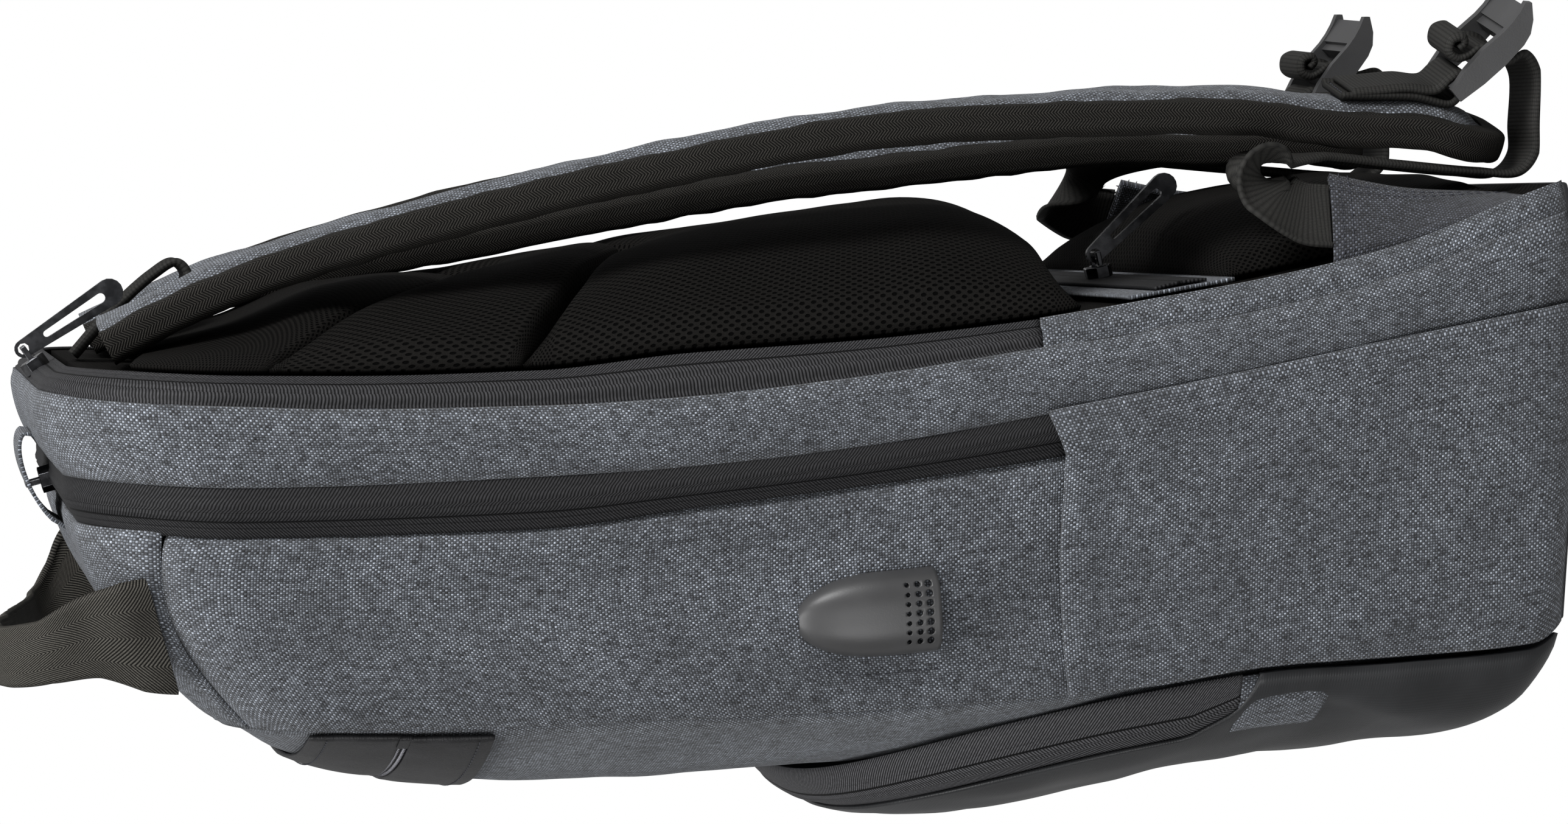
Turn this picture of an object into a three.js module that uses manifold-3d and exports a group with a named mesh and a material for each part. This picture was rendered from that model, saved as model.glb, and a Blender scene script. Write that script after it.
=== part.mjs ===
// A slim anti theft backpack standing on its base: a padded fabric body with a laptop zip round the back edge,
// a main zip beside it, a domed front pocket, slip pockets on both sides, two shoulder straps and a haul handle.
// Millimetres, +Z up, front towards -Y, the side with the USB hood towards +X, origin at the middle of the base.
import * as THREE from "three";
import { mergeVertices } from "three/addons/utils/BufferGeometryUtils.js";
import Module from "manifold-3d";

const wasm = await Module();
wasm.setup();

// Driving sizes of the bag
const HEIGHT = 488; // base to the top of the laptop zip
const HALF_WIDTH = 152;
const DEPTH = 150; // front seam to back seam, low on the body
const WALL = 1.8; // lined and padded fabric
const PLATE = 2.6; // stiff panels of the back and the base
const GAP = 0.4; // clearance between sewn neighbours
const LAY = 0.8; // clearance under a piece that lies on a curved panel
const BASE_ROUND = 16; // radius of the lower side edges
const SIDE_SWELL = 3; // how far a side panel stands out between its seams
const TOP_SWELL = 8; // the same for the sloping top
const FRONT_SWELL = 31; // how far the front panel stands out before its seam

// Driving sizes of what is on it
const ZIP_END = 178; // height at which both side zips end
const SIDE_POCKET_TOP = 178; // the slip pocket's edge at the laptop band
const SIDE_POCKET_DROP = 9; // how much lower that edge is at the front seam
const SIDE_POCKET_SLACK = 6; // how far its mouth stands off
const POCKET_TOP = 238; // front pocket
const POCKET_ZIP_END = 112; // height at which the pocket's zip ends at the sides
const POCKET_DEPTH = 22;
const POCKET_ZIP = 15; // visible width of its zip
const SKIN = 1.5; // unpadded cloth and leather
const PATCH_TOP = 0.834 * HEIGHT; // leather surround of the hidden front zip
const PATCH_BOTTOM = 0.7172 * HEIGHT;
const PATCH_MARGIN = 5; // from its ends to the side seams
const SLIT = 15; // height of the slit in it
const PAD_HEIGHT = 38; // highest back pad above the back panel
const PAD_MARGIN = 4; // from the pads to the edge of the back panel

const STRAP_WIDTH = 62;
const STRAP_END_WIDTH = 50;
const STRAP_EDGE = 9.5; // thickness at the bound edges
const STRAP_CROWN = 3.5; // how far the padded face stands above them
const STRAP_TOP_ACROSS = 0.4; // where the straps are sewn in, as a share of HALF_WIDTH
const BINDING = 1.6;
const WEBBING = 1.6;
const WEB_WIDTH = 25;
const HANDLE_WIDTH = 38;
const HANDLE_THICK = 2.2;
const HANDLE_RISE = 49; // above the seam that holds it

const LOCK_LENGTH = 36;
const LOCK_WIDTH = 35;
const LOCK_THICK = 4.4;
const LOCK_BAR = 4.5;
const LOCK_SLOT = 7;

const HOOD_LENGTH = 44;
const HOOD_WIDTH = 27;
const HOOD_RISE = 11;
const HOOD_WALL = 1.6;

const PULL_LENGTH = 38;
const PULL_WIDTH = 9;
const PULL_THICK = 2;
const SLIDER_LENGTH = 12;
const SLIDER_WIDTH = 9;
const SLIDER_THICK = 4.2;
const BAIL = 1.8; // thickness of the bar that carries a pull

// Where the five seams run, from the back seam to the front seam: shares of HEIGHT, then shares of DEPTH from the
// middle of the base, positive towards the back.
const SEAMS = [
  { height: 0.0, seams: [0.52, 0.46, 0.26, 0.16, -0.42] },
  { height: 0.03, seams: [0.485, 0.425, 0.24, 0.14, -0.475] },
  { height: 0.12, seams: [0.37, 0.31, 0.18, 0.087, -0.5] },
  { height: 0.2, seams: [0.305, 0.245, 0.125, 0.033, -0.515] },
  { height: 0.29, seams: [0.25, 0.19, 0.065, -0.03, -0.555] },
  { height: 0.37, seams: [0.207, 0.147, 0.015, -0.075, -0.585] },
  { height: 0.48, seams: [0.165, 0.09, -0.045, -0.127, -0.605] },
  { height: 0.6, seams: [0.135, 0.045, -0.09, -0.175, -0.615] },
  { height: 0.69, seams: [0.1, 0.027, -0.108, -0.213, -0.625] },
  { height: 0.82, seams: [0.087, 0.02, -0.127, -0.227, -0.627] },
  { height: 0.88, seams: [0.087, 0.025, -0.13, -0.23, -0.627] },
  { height: 0.96, seams: [0.093, 0.035, -0.12, -0.22, -0.627] },
  { height: 1.0, seams: [0.095, 0.053, -0.113, -0.213, -0.627] },
];
const BACK = 0; // places in that list
const LAPTOP = 1;
const MAIN_BACK = 2;
const MAIN_FRONT = 3;
const FRONT = 4;
// Each seam as seen from the front: width as a share of HALF_WIDTH, top as a share of HEIGHT, corner in millimetres.
const OUTLINES = [
  { width: 0.945, top: 0.982, corner: 52 },
  { width: 0.98, top: 1.0, corner: 52 },
  { width: 1.0, top: 0.984, corner: 50 },
  { width: 1.0, top: 0.975, corner: 48 },
  { width: 0.965, top: 0.885, corner: 34 },
];
// The front panel's swell: shares of HEIGHT and of FRONT_SWELL.
const FRONT_PROFILE = [
  { height: 0.0, swell: 0.42 },
  { height: 0.1, swell: 0.45 },
  { height: 0.2, swell: 0.58 },
  { height: 0.31, swell: 0.72 },
  { height: 0.42, swell: 0.9 },
  { height: 0.52, swell: 0.98 },
  { height: 0.62, swell: 1.0 },
  { height: 0.7, swell: 0.96 },
  { height: 0.79, swell: 0.8 },
  { height: 0.84, swell: 0.56 },
  { height: 0.885, swell: 0.0 },
];
// The back pads' crest: shares of HEIGHT and of PAD_HEIGHT.
const PAD_PROFILE = [
  { height: 0.0, crest: 0.1 },
  { height: 0.03, crest: 0.2 },
  { height: 0.07, crest: 0.36 },
  { height: 0.13, crest: 0.52 },
  { height: 0.22, crest: 0.56 },
  { height: 0.3, crest: 0.92 },
  { height: 0.42, crest: 1.0 },
  { height: 0.56, crest: 0.9 },
  { height: 0.64, crest: 0.83 },
  { height: 0.7, crest: 0.76 },
  { height: 0.8, crest: 0.64 },
  { height: 0.87, crest: 0.3 },
  { height: 0.93, crest: 0.14 },
  { height: 0.98, crest: 0.08 },
];
// The back pads, top to bottom: heights as shares of HEIGHT at the side and in the middle of each edge, and how
// much of the crest height each edge keeps.
const PADS = [
  { name: "back_pad_top", topSide: 0.942, topMid: 0.92, lowSide: 0.862, lowMid: 0.68, topKeep: 0.5, lowKeep: 0.72 },
  { name: "back_pad_upper", topSide: 0.858, topMid: 0.676, lowSide: 0.702, lowMid: 0.583, topKeep: 0.72, lowKeep: 0.78 },
  { name: "back_pad_lower", topSide: 0.698, topMid: 0.579, lowSide: 0.335, lowMid: 0.308, topKeep: 0.78, lowKeep: 0.2 },
  { name: "back_pad_base", topSide: 0.222, topMid: 0.222, lowSide: 0.035, lowMid: 0.028, topKeep: 0.2, lowKeep: 0.5 },
];
const BASE_PAD_INSET = 24; // the lowest pad is narrower, between the wings

// The straps' middle line, from the seam at the top to the end: share of HEIGHT up, share of the way drifted from
// where it is sewn in to where it ends, and the distance behind the back seam as a share of DEPTH.
const STRAP_LINE = [
  { up: 0.95, drift: 0.0, behind: 0.05 },
  { up: 0.912, drift: 0.05, behind: 0.12 },
  { up: 0.867, drift: 0.09, behind: 0.187 },
  { up: 0.803, drift: 0.14, behind: 0.259 },
  { up: 0.73, drift: 0.23, behind: 0.32 },
  { up: 0.67, drift: 0.32, behind: 0.36 },
  { up: 0.607, drift: 0.41, behind: 0.38 },
  { up: 0.557, drift: 0.5, behind: 0.402 },
  { up: 0.471, drift: 0.64, behind: 0.433 },
  { up: 0.387, drift: 0.76, behind: 0.43 },
  { up: 0.266, drift: 0.87, behind: 0.396 },
  { up: 0.209, drift: 0.92, behind: 0.367 },
  { up: 0.143, drift: 0.96, behind: 0.3 },
  { up: 0.076, drift: 0.986, behind: 0.223 },
  { up: 0.038, drift: 0.995, behind: 0.138 },
  { up: 0.015, drift: 1.0, behind: 0.085 },
];
// The two straps as they hang: where each ends across the bag, how far it is arched out as a share of the line
// above, and how its padded face is turned outwards, in degrees, half way down and at its end.
const STRAPS = [
  { side: 1, name: "hood_side", endAcross: 0.618, arch: 1.0, turn: 0, endTurn: 14 },
  { side: -1, name: "far_side", endAcross: 0.3, arch: 0.86, turn: -15, endTurn: -4 },
];

const heathered = { color: 0x4a4f5e, roughness: 0.95, metalness: 0 };
const webbingBlack = { color: 0x17171a, roughness: 0.85, metalness: 0 };
const meshBlack = { color: 0x121214, roughness: 0.9, metalness: 0 };
const zipBlack = { color: 0x1c1c1f, roughness: 0.7, metalness: 0 };
const tarpaulin = { color: 0x26272a, roughness: 0.5, metalness: 0 };
const leather = { color: 0x1d1d21, roughness: 0.45, metalness: 0 };
const plastic = { color: 0x141416, roughness: 0.4, metalness: 0 };
const nickel = { color: 0x232428, roughness: 0.25, metalness: 0.8 };

const { lerp, clamp, degToRad } = THREE.MathUtils;
const point = (x, y, z) => new THREE.Vector3(x, y, z);
const bag = new THREE.Group();

function add(name, geometry, finish) {
  const mesh = new THREE.Mesh(geometry, new THREE.MeshStandardMaterial(finish));
  mesh.name = name;
  bag.add(mesh);
  return mesh;
}

// The value of a table's column at a share between its rows.
function read(table, key, share, column) {
  const last = table.length - 1;
  let i = 0;
  while (i < last - 1 && table[i + 1][key] < share) i++;
  const f = clamp((share - table[i][key]) / (table[i + 1][key] - table[i][key]), 0, 1);
  return lerp(column(table[i]), column(table[i + 1]), f);
}

// Y of a seam, or of a place between two seams, at a height.
function seamY(s, z) {
  const i = Math.min(Math.floor(s), FRONT - 1);
  return DEPTH * read(SEAMS, "height", z / HEIGHT, (row) => lerp(row.seams[i], row.seams[i + 1], s - i));
}

// Half width, top and corner of the outline at a place between the seams, moved outwards by out.
function outlineAt(s, out = 0) {
  const i = Math.min(Math.floor(s), FRONT - 1);
  const f = s - i;
  const swell = i === MAIN_FRONT ? Math.sin(Math.PI * f) : 0;
  return {
    width: HALF_WIDTH * lerp(OUTLINES[i].width, OUTLINES[i + 1].width, f) + SIDE_SWELL * swell + out,
    top: HEIGHT * lerp(OUTLINES[i].top, OUTLINES[i + 1].top, f) + TOP_SWELL * swell + out,
    corner: lerp(OUTLINES[i].corner, OUTLINES[i + 1].corner, f) + out,
  };
}

// How far the rounded lower edge draws a side in at a height.
function baseInset(z) {
  const below = clamp(BASE_ROUND - z, 0, BASE_ROUND);
  return BASE_ROUND - Math.sqrt(BASE_ROUND ** 2 - below ** 2);
}

const FLOOR = PLATE + GAP; // the walls stand on the base panel
const SIDE_END = 0.8; // share of the way up at which the corner starts
const CORNER_END = 0.92;

// A point of the bag's skin: s between the seams, t from 0 at the base on the +X side over the top to 2.
function skin(s, t, out = 0) {
  const { width, top, corner } = outlineAt(s, out);
  const side = t <= 1 ? 1 : -1;
  const h = t <= 1 ? t : 2 - t;
  let x = width;
  let z = top;
  if (h < SIDE_END) {
    z = lerp(FLOOR, top - corner, h / SIDE_END);
    x = width - baseInset(z);
  } else if (h < CORNER_END) {
    const angle = ((h - SIDE_END) / (CORNER_END - SIDE_END)) * (Math.PI / 2);
    x = width - corner + corner * Math.cos(angle);
    z = top - corner + corner * Math.sin(angle);
  } else {
    x = (width - corner) * (1 - (h - CORNER_END) / (1 - CORNER_END));
  }
  return point(side * x, seamY(s, z), z);
}

// The place t of a height on the +X side.
function placeAt(s, z) {
  const { top, corner } = outlineAt(s);
  if (z <= top - corner) return (SIDE_END * (z - FLOOR)) / (top - corner - FLOOR);
  const angle = Math.asin(clamp((z - top + corner) / corner, 0, 1));
  return lerp(SIDE_END, CORNER_END, angle / (Math.PI / 2));
}

const HALF_STATIONS = [0, 0.012, 0.03, 0.1, 0.2, 0.3, 0.4, 0.5, 0.6, 0.7, 0.8, 0.824, 0.848, 0.872, 0.896, 0.92];
const STATIONS = [...HALF_STATIONS, 1, ...HALF_STATIONS.map((t) => 2 - t).reverse()];
const stationsBetween = (from, to) => [from, ...STATIONS.filter((t) => t > from + 0.004 && t < to - 0.004), to];

// A closed slab between two equal grids of points.
function slab(front, back, wrap = false) {
  const rows = front.length;
  const cols = front[0].length;
  const all = [...front.flat(), ...back.flat()];
  const at = (layer, i, j) => layer * rows * cols + (i % rows) * cols + j;
  const faces = [];
  const quad = (a, b, c, d) => faces.push(a, b, c, a, c, d);
  const steps = wrap ? rows : rows - 1;
  for (let i = 0; i < steps; i++) {
    for (let j = 0; j < cols - 1; j++) {
      quad(at(0, i, j), at(0, i + 1, j), at(0, i + 1, j + 1), at(0, i, j + 1));
      quad(at(1, i, j), at(1, i, j + 1), at(1, i + 1, j + 1), at(1, i + 1, j));
    }
    quad(at(0, i + 1, 0), at(0, i, 0), at(1, i, 0), at(1, i + 1, 0));
    quad(at(0, i, cols - 1), at(0, i + 1, cols - 1), at(1, i + 1, cols - 1), at(1, i, cols - 1));
  }
  if (!wrap) {
    for (let j = 0; j < cols - 1; j++) {
      quad(at(0, 0, j), at(0, 0, j + 1), at(1, 0, j + 1), at(1, 0, j));
      quad(at(0, rows - 1, j + 1), at(0, rows - 1, j), at(1, rows - 1, j), at(1, rows - 1, j + 1));
    }
  }
  return facingOut(all, faces);
}

// A closed sweep: rings of points, each ring a loop, with a flat cap at both ends.
function sweep(rings) {
  const n = rings[0].length;
  const all = rings.flat();
  const faces = [];
  for (let i = 0; i < rings.length - 1; i++)
    for (let j = 0; j < n; j++) {
      const k = (j + 1) % n;
      faces.push(i * n + j, (i + 1) * n + j, (i + 1) * n + k, i * n + j, (i + 1) * n + k, i * n + k);
    }
  const cap = (ring, first) => {
    const flat = THREE.ShapeUtils.triangulateShape(flatten(ring), []);
    for (const [a, b, c] of flat) faces.push(first + a, first + b, first + c);
    return flat;
  };
  const start = faces.length;
  cap(rings[0], 0);
  const endStart = faces.length;
  cap(rings.at(-1), (rings.length - 1) * n);
  return matchCaps(all, faces, start, endStart);
}

// A ring of points as 2D points in its own plane.
function flatten(ring) {
  const normal = point(0, 0, 0);
  ring.forEach((p, i) => {
    const q = ring[(i + 1) % ring.length];
    normal.add(p.clone().cross(q));
  });
  normal.normalize();
  const across = ring[1].clone().sub(ring[0]).normalize();
  const up = normal.clone().cross(across);
  return ring.map((p) => new THREE.Vector2(p.dot(across), p.dot(up)));
}

// Turns each cap so that its edges run against the wall's, then the whole solid so that it faces out.
function matchCaps(all, faces, start, endStart) {
  const edges = new Set();
  for (let i = 0; i < start; i += 3)
    for (let e = 0; e < 3; e++) edges.add(faces[i + e] + "," + faces[i + ((e + 1) % 3)]);
  const turn = (from, to) => {
    let same = 0;
    for (let i = from; i < to; i += 3)
      for (let e = 0; e < 3; e++) if (edges.has(faces[i + e] + "," + faces[i + ((e + 1) % 3)])) same++;
    if (same) for (let i = from; i < to; i += 3) [faces[i], faces[i + 1]] = [faces[i + 1], faces[i]];
  };
  turn(start, endStart);
  turn(endStart, faces.length);
  return facingOut(all, faces);
}

function facingOut(all, faces) {
  let volume = 0;
  for (let i = 0; i < faces.length; i += 3) {
    const [a, b, c] = [all[faces[i]], all[faces[i + 1]], all[faces[i + 2]]];
    volume += a.clone().cross(b).dot(c);
  }
  if (volume < 0) for (let i = 0; i < faces.length; i += 3) [faces[i], faces[i + 1]] = [faces[i + 1], faces[i]];
  const geometry = new THREE.BufferGeometry().setFromPoints(all);
  geometry.setIndex(faces);
  return geometry;
}

function toSolid(geometry) {
  const bare = geometry.clone();
  bare.deleteAttribute("normal");
  bare.deleteAttribute("uv");
  const merged = mergeVertices(bare, 1e-3);
  return new wasm.Manifold(
    new wasm.Mesh({
      numProp: 3,
      vertProperties: merged.attributes.position.array,
      triVerts: new Uint32Array(merged.index.array),
    }),
  );
}

function toGeometry(solid) {
  const mesh = solid.getMesh();
  const geometry = new THREE.BufferGeometry();
  geometry.setAttribute("position", new THREE.BufferAttribute(mesh.vertProperties, mesh.numProp));
  geometry.setIndex(new THREE.BufferAttribute(mesh.triVerts, 1));
  return geometry;
}

const join = (...parts) => toGeometry(parts.map(toSolid).reduce((a, b) => a.add(b)));
const cut = (body, ...tools) => toGeometry(tools.map(toSolid).reduce((a, b) => a.subtract(b), toSolid(body)));

// A strip of skin between places across the seams. tFrom and tTo give its ends, out its outer face.
function strip(levels, tFrom, tTo, { out = () => 0, wall = WALL } = {}) {
  const middle = levels[Math.floor(levels.length / 2)];
  const base = stationsBetween(tFrom(middle), tTo(middle));
  const shares = base.map((t) => (t - base[0]) / (base.at(-1) - base[0]));
  const grid = (drop) =>
    shares.map((share) => levels.map((s) => {
      const t = lerp(tFrom(s), tTo(s), share);
      return skin(s, t, out(s, t) - drop);
    }));
  return slab(grid(0), grid(wall));
}

const tight = 0.02; // seam clearance as a share of the way between two seams
const wholeWay = [() => 0, () => 2];
const aboveZipEnd = [(s) => placeAt(s, ZIP_END + GAP), (s) => 2 - placeAt(s, ZIP_END + GAP)];

// Laptop compartment: the zip round its back edge, and the heathered band between the two zips, which takes the
// zip's place below its end.
add("laptop_zip", strip([BACK, LAPTOP - tight * 3], ...aboveZipEnd), zipBlack);
const lowBand = (side) => {
  const ends = [() => 0, (s) => placeAt(s, ZIP_END)];
  const [from, to] = side > 0 ? ends : [(s) => 2 - ends[1](s), () => 2];
  return strip([BACK, LAPTOP, LAPTOP + 0.1], from, to);
};
add("laptop_band", join(strip([LAPTOP, LAPTOP + 0.1, LAPTOP + 0.5, MAIN_BACK], ...wholeWay), lowBand(1), lowBand(-1)), heathered);

// Main zip, down both sides to just behind the slip pockets' edges.
const zipTail = 10;
add("main_zip", strip(
  [MAIN_BACK + tight * 2, MAIN_FRONT - tight],
  (s) => placeAt(s, ZIP_END - zipTail),
  (s) => 2 - placeAt(s, ZIP_END - zipTail),
), zipBlack);

// Side panels: from the main zip to the front seam, whose upper end runs aslant over the chamfer to the zip.
const CHAMFER = { atZip: 452, atFront: 425 };
const sideTop = (s) =>
  lerp(placeAt(MAIN_FRONT, CHAMFER.atZip), placeAt(FRONT, CHAMFER.atFront), clamp(s - MAIN_FRONT, 0, 1));
const sideLevels = [MAIN_FRONT + tight, 3.25, 3.5, 3.75, FRONT - tight / 2];
for (const { side, name } of STRAPS) {
  const span = (low, high) => (side > 0 ? [low, high] : [(s) => 2 - high(s), (s) => 2 - low(s)]);
  const panel = strip(sideLevels, ...span(() => 0, (s) => sideTop(s) - 0.002));
  const tail = strip(
    [MAIN_BACK + tight * 2, MAIN_FRONT, MAIN_FRONT + tight * 2],
    ...span(() => 0, (s) => placeAt(s, ZIP_END - zipTail - GAP)),
  );
  add("side_panel_" + name, join(panel, tail), heathered);
  const mouth = (s) =>
    placeAt(s, SIDE_POCKET_TOP - (SIDE_POCKET_DROP * clamp(s - MAIN_BACK, 0, FRONT - MAIN_BACK)) / (FRONT - MAIN_BACK));
  const slack = (s, t) => {
    const share = clamp((t > 1 ? 2 - t : t) / mouth(s), 0, 1);
    const between = Math.sin((Math.PI * (s - MAIN_BACK)) / (FRONT - MAIN_BACK));
    return LAY + SKIN + SIDE_POCKET_SLACK * share ** 2 * between;
  };
  add("side_pocket_" + name, strip(
    [MAIN_BACK + tight * 2, 2.5, MAIN_FRONT, 3.25, 3.5, 3.75, FRONT],
    ...span(() => 0, mouth),
    { out: slack, wall: SKIN },
  ), heathered);
}

// Front panel: one piece with the sloping top.
const frontSwell = (z) => FRONT_SWELL * read(FRONT_PROFILE, "height", z / HEIGHT, (row) => row.swell);
function frontY(x, z) {
  const across = Math.min(Math.abs(x) / outlineAt(FRONT).width, 1);
  return seamY(FRONT, z) - frontSwell(z) * (1 - across ** 2.6);
}
// Half width of an outline at a height.
function halfWidthAt(s, z, out) {
  const { width, top, corner } = outlineAt(s, out);
  const above = clamp(z - (top - corner), 0, corner);
  return width - baseInset(z) - corner + Math.sqrt(corner ** 2 - above ** 2);
}
const spread = (from, to, steps) => Array.from({ length: steps + 1 }, (_, i) => lerp(from, to, i / steps));
// A slab that follows a surface y(x, z) between two heights. Its faces are front and back of that surface.
function panelSlab(heights, half, outer, inner, columns = 10) {
  const grid = (y) =>
    heights.map((z) => spread(-1, 1, columns).map((u) => {
      const x = u * half(z);
      return point(x, y(x, z), z);
    }));
  return slab(grid(outer), grid(inner));
}
const frontTop = outlineAt(FRONT).top - WALL / 4;
const cornerHeights = [FLOOR, 6, 12, 20, ...spread(45, 385, 8), 403, 415, 424, frontTop];
const frontPlate = panelSlab(
  cornerHeights,
  (z) => halfWidthAt(FRONT, z, -WALL - GAP),
  frontY,
  (x, z) => frontY(x, z) + WALL,
);
const topPanel = strip(sideLevels.map((s) => Math.min(s, FRONT)), (s) => sideTop(s) + 0.004, (s) => 2 - sideTop(s) - 0.004);
add("front_panel", join(topPanel, frontPlate), heathered);

// Leather surround with its slit, and the zip that shows in the slit.
const patchHalf = (z) => halfWidthAt(FRONT, z, -WALL - GAP - PATCH_MARGIN);
const onFront = (rise) => (x, z) => frontY(x, z) - LAY - rise;
const slitMiddle = lerp(PATCH_BOTTOM, PATCH_TOP, 0.48);
const slitHalf = () => patchHalf(slitMiddle) - 8;
const patchHeights = [PATCH_BOTTOM, ...cornerHeights.filter((z) => z > PATCH_BOTTOM && z < PATCH_TOP), PATCH_TOP];
const patch = panelSlab(patchHeights, patchHalf, onFront(SKIN), onFront(0));
const slit = new THREE.BoxGeometry(2 * slitHalf(), 4 * DEPTH, SLIT);
slit.translate(0, 0, slitMiddle);
add("leather_surround", cut(patch, slit), leather);
add("front_zip", panelSlab(
  spread(slitMiddle - SLIT / 2 + GAP, slitMiddle + SLIT / 2 - GAP, 2),
  () => slitHalf() - GAP,
  onFront(SKIN * 0.7),
  onFront(0),
), zipBlack);

// Front pocket: an arch of zip tape round a domed face, worked out round a middle point of the front.
const POCKET_MIDDLE = 100; // height of that point
const pocketHalf = () => outlineAt(FRONT).width - LAY;
function pocketEdge(q) {
  // q from 0 to 1 goes from the foot on the +X side over the arch to the other foot
  const half = pocketHalf();
  const straight = 0.25; // share of q spent on each straight side
  const side = q < 0.5 ? 1 : -1;
  const h = q < 0.5 ? q : 1 - q;
  if (h < straight) {
    const z = lerp(FLOOR + GAP, POCKET_ZIP_END, h / straight);
    return { x: side * (half - baseInset(z)), z };
  }
  const a = ((h - straight) / (0.5 - straight)) * (Math.PI / 2);
  return {
    x: side * half * Math.cos(a) ** (2 / 2.6),
    z: POCKET_ZIP_END + (POCKET_TOP - POCKET_ZIP_END) * Math.sin(a) ** (2 / 2.2),
  };
}
const pocketRise = (share) => POCKET_DEPTH * Math.sqrt(Math.max(0, 1 - share ** 6));
function pocketPoint(edge, share, layer) {
  const x = edge.x * share;
  const z = POCKET_MIDDLE + (edge.z - POCKET_MIDDLE) * share;
  const rise = Math.max(pocketRise(share) - layer * SKIN, (1 - layer) * SKIN);
  return point(x, frontY(x, z) - LAY - rise, z);
}
const zipShare = (edge) => 1 - POCKET_ZIP / Math.hypot(edge.x, edge.z - POCKET_MIDDLE);
const archSteps = spread(0.25, 0.75, 16);
const zipGrid = (layer) =>
  archSteps.map((q) => {
    const edge = pocketEdge(q);
    return spread(1, zipShare(edge) + 0.004, 2).map((share) => pocketPoint(edge, share, layer));
  });
add("pocket_zip", slab(zipGrid(0), zipGrid(1)), zipBlack);
const sideHeights = [FLOOR + GAP, 6, 12, 20, 45, 76, 92, 108];
const footShare = (z) => (0.25 * (z - FLOOR - GAP)) / (POCKET_ZIP_END - FLOOR - GAP);
const sideSteps = sideHeights.map(footShare);
const footSteps = spread(-1, 1, 8).slice(1, -1);
const rim = [
  ...sideSteps.map((q) => ({ edge: pocketEdge(q), share: 1 })),
  ...archSteps.map((q) => ({ edge: pocketEdge(q), share: zipShare(pocketEdge(q)) })),
  ...sideSteps.map((q) => ({ edge: pocketEdge(1 - q), share: 1 })).reverse(),
  ...footSteps.map((u) => ({ edge: { x: u * pocketEdge(0).x, z: FLOOR + GAP }, share: 1 })),
];
const faceShares = [1, 0.95, 0.82, 0.55, 0.05];
const faceGrid = (layer) =>
  rim.map(({ edge, share }) => faceShares.map((f) => pocketPoint(edge, share * f, layer)));
const faceRing = slab(faceGrid(0), faceGrid(1), true);
const faceMiddle = (() => {
  const [lowEdge, highEdge] = [{ x: 0, z: FLOOR }, { x: 0, z: POCKET_TOP }];
  const front = pocketPoint(lowEdge, 0, 0);
  const reach = 0.08 * (highEdge.z - lowEdge.z);
  const plug = new THREE.CylinderGeometry(reach, reach, SKIN * 0.9, 12);
  plug.translate(0, front.y + SKIN * 0.55, front.z);
  return plug;
})();
add("pocket_face", join(faceRing, faceMiddle), tarpaulin);
// Heathered tab over each end of the pocket's zip.
for (const { side, name } of STRAPS) {
  const tabGrid = (layer) =>
    sideHeights.slice(-3).map((z) => {
      const edge = pocketEdge(side > 0 ? footShare(z) : 1 - footShare(z));
      return faceShares.slice(0, 3).map((share) => {
        const p = pocketPoint(edge, share, 0);
        return point(p.x, p.y - LAY - (1 - layer) * SKIN, p.z);
      });
    });
  add("pocket_zip_tab_" + name, slab(tabGrid(0), tabGrid(1)), heathered);
}

// Base panel, cut to the foot of the walls.
const foot = [];
for (const s of spread(BACK, FRONT, 8)) foot.push(skin(s, 0));
const frontFoot = spread(1, -1, 12).slice(1, -1).map((u) => {
  const x = u * skin(FRONT, 0).x;
  return point(x, frontY(x, 0), 0);
});
const farFoot = foot.map((p) => point(-p.x, p.y, p.z)).reverse();
const baseShape = new THREE.Shape([...foot, ...frontFoot, ...farFoot].map((p) => new THREE.Vector2(p.x, p.y)));
add("base_panel", new THREE.ExtrudeGeometry(baseShape, { depth: PLATE, bevelEnabled: false }), tarpaulin);

// Back panel behind the pads.
const panelInset = -WALL - GAP * 3;
const backTop = outlineAt(BACK, panelInset).top;
const backHeights = [FLOOR, 8, 16, 30, ...spread(60, 400, 10), 420, 440, 455, 465, backTop - 3];
add("back_panel", panelSlab(
  backHeights,
  (z) => halfWidthAt(BACK, z, panelInset),
  (x, z) => seamY(BACK, z) - GAP,
  (x, z) => seamY(BACK, z) - GAP - PLATE,
  2,
), meshBlack);

// Back pads: chevron pads of spacer mesh over foam.
const padSteps = [0, 0.06, 0.18, 0.5, 0.82, 0.94, 1];
const padColumns = [-1, -0.95, -0.75, -0.4, 0, 0.4, 0.75, 0.95, 1];
const crest = (z) => PAD_HEIGHT * read(PAD_PROFILE, "height", z / HEIGHT, (row) => row.crest);
for (const pad of PADS) {
  const inset = pad.name === "back_pad_base" ? BASE_PAD_INSET : PAD_MARGIN;
  const grid = (layer) =>
    padSteps.map((v, i) => padColumns.map((u) => {
      const bend = Math.abs(u);
      const top = HEIGHT * lerp(pad.topMid, pad.topSide, bend);
      const low = HEIGHT * lerp(pad.lowMid, pad.lowSide, bend);
      const z = lerp(top, low, v);
      const x = u * halfWidthAt(BACK, z, panelInset - inset);
      const edge = Math.sqrt(1 - (1 - Math.min(v, 1 - v, 0.3) / 0.3) ** 2);
      const keep = lerp(v < 0.5 ? pad.topKeep : pad.lowKeep, 1, edge);
      const across = 0.16 + 0.84 * (1 - bend ** 3);
      const rise = layer ? 0 : 1 + crest(z) * keep * across;
      return point(x, seamY(BACK, z) + rise, z);
    }));
  add(pad.name, slab(grid(0), grid(1)), meshBlack);
}

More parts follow.
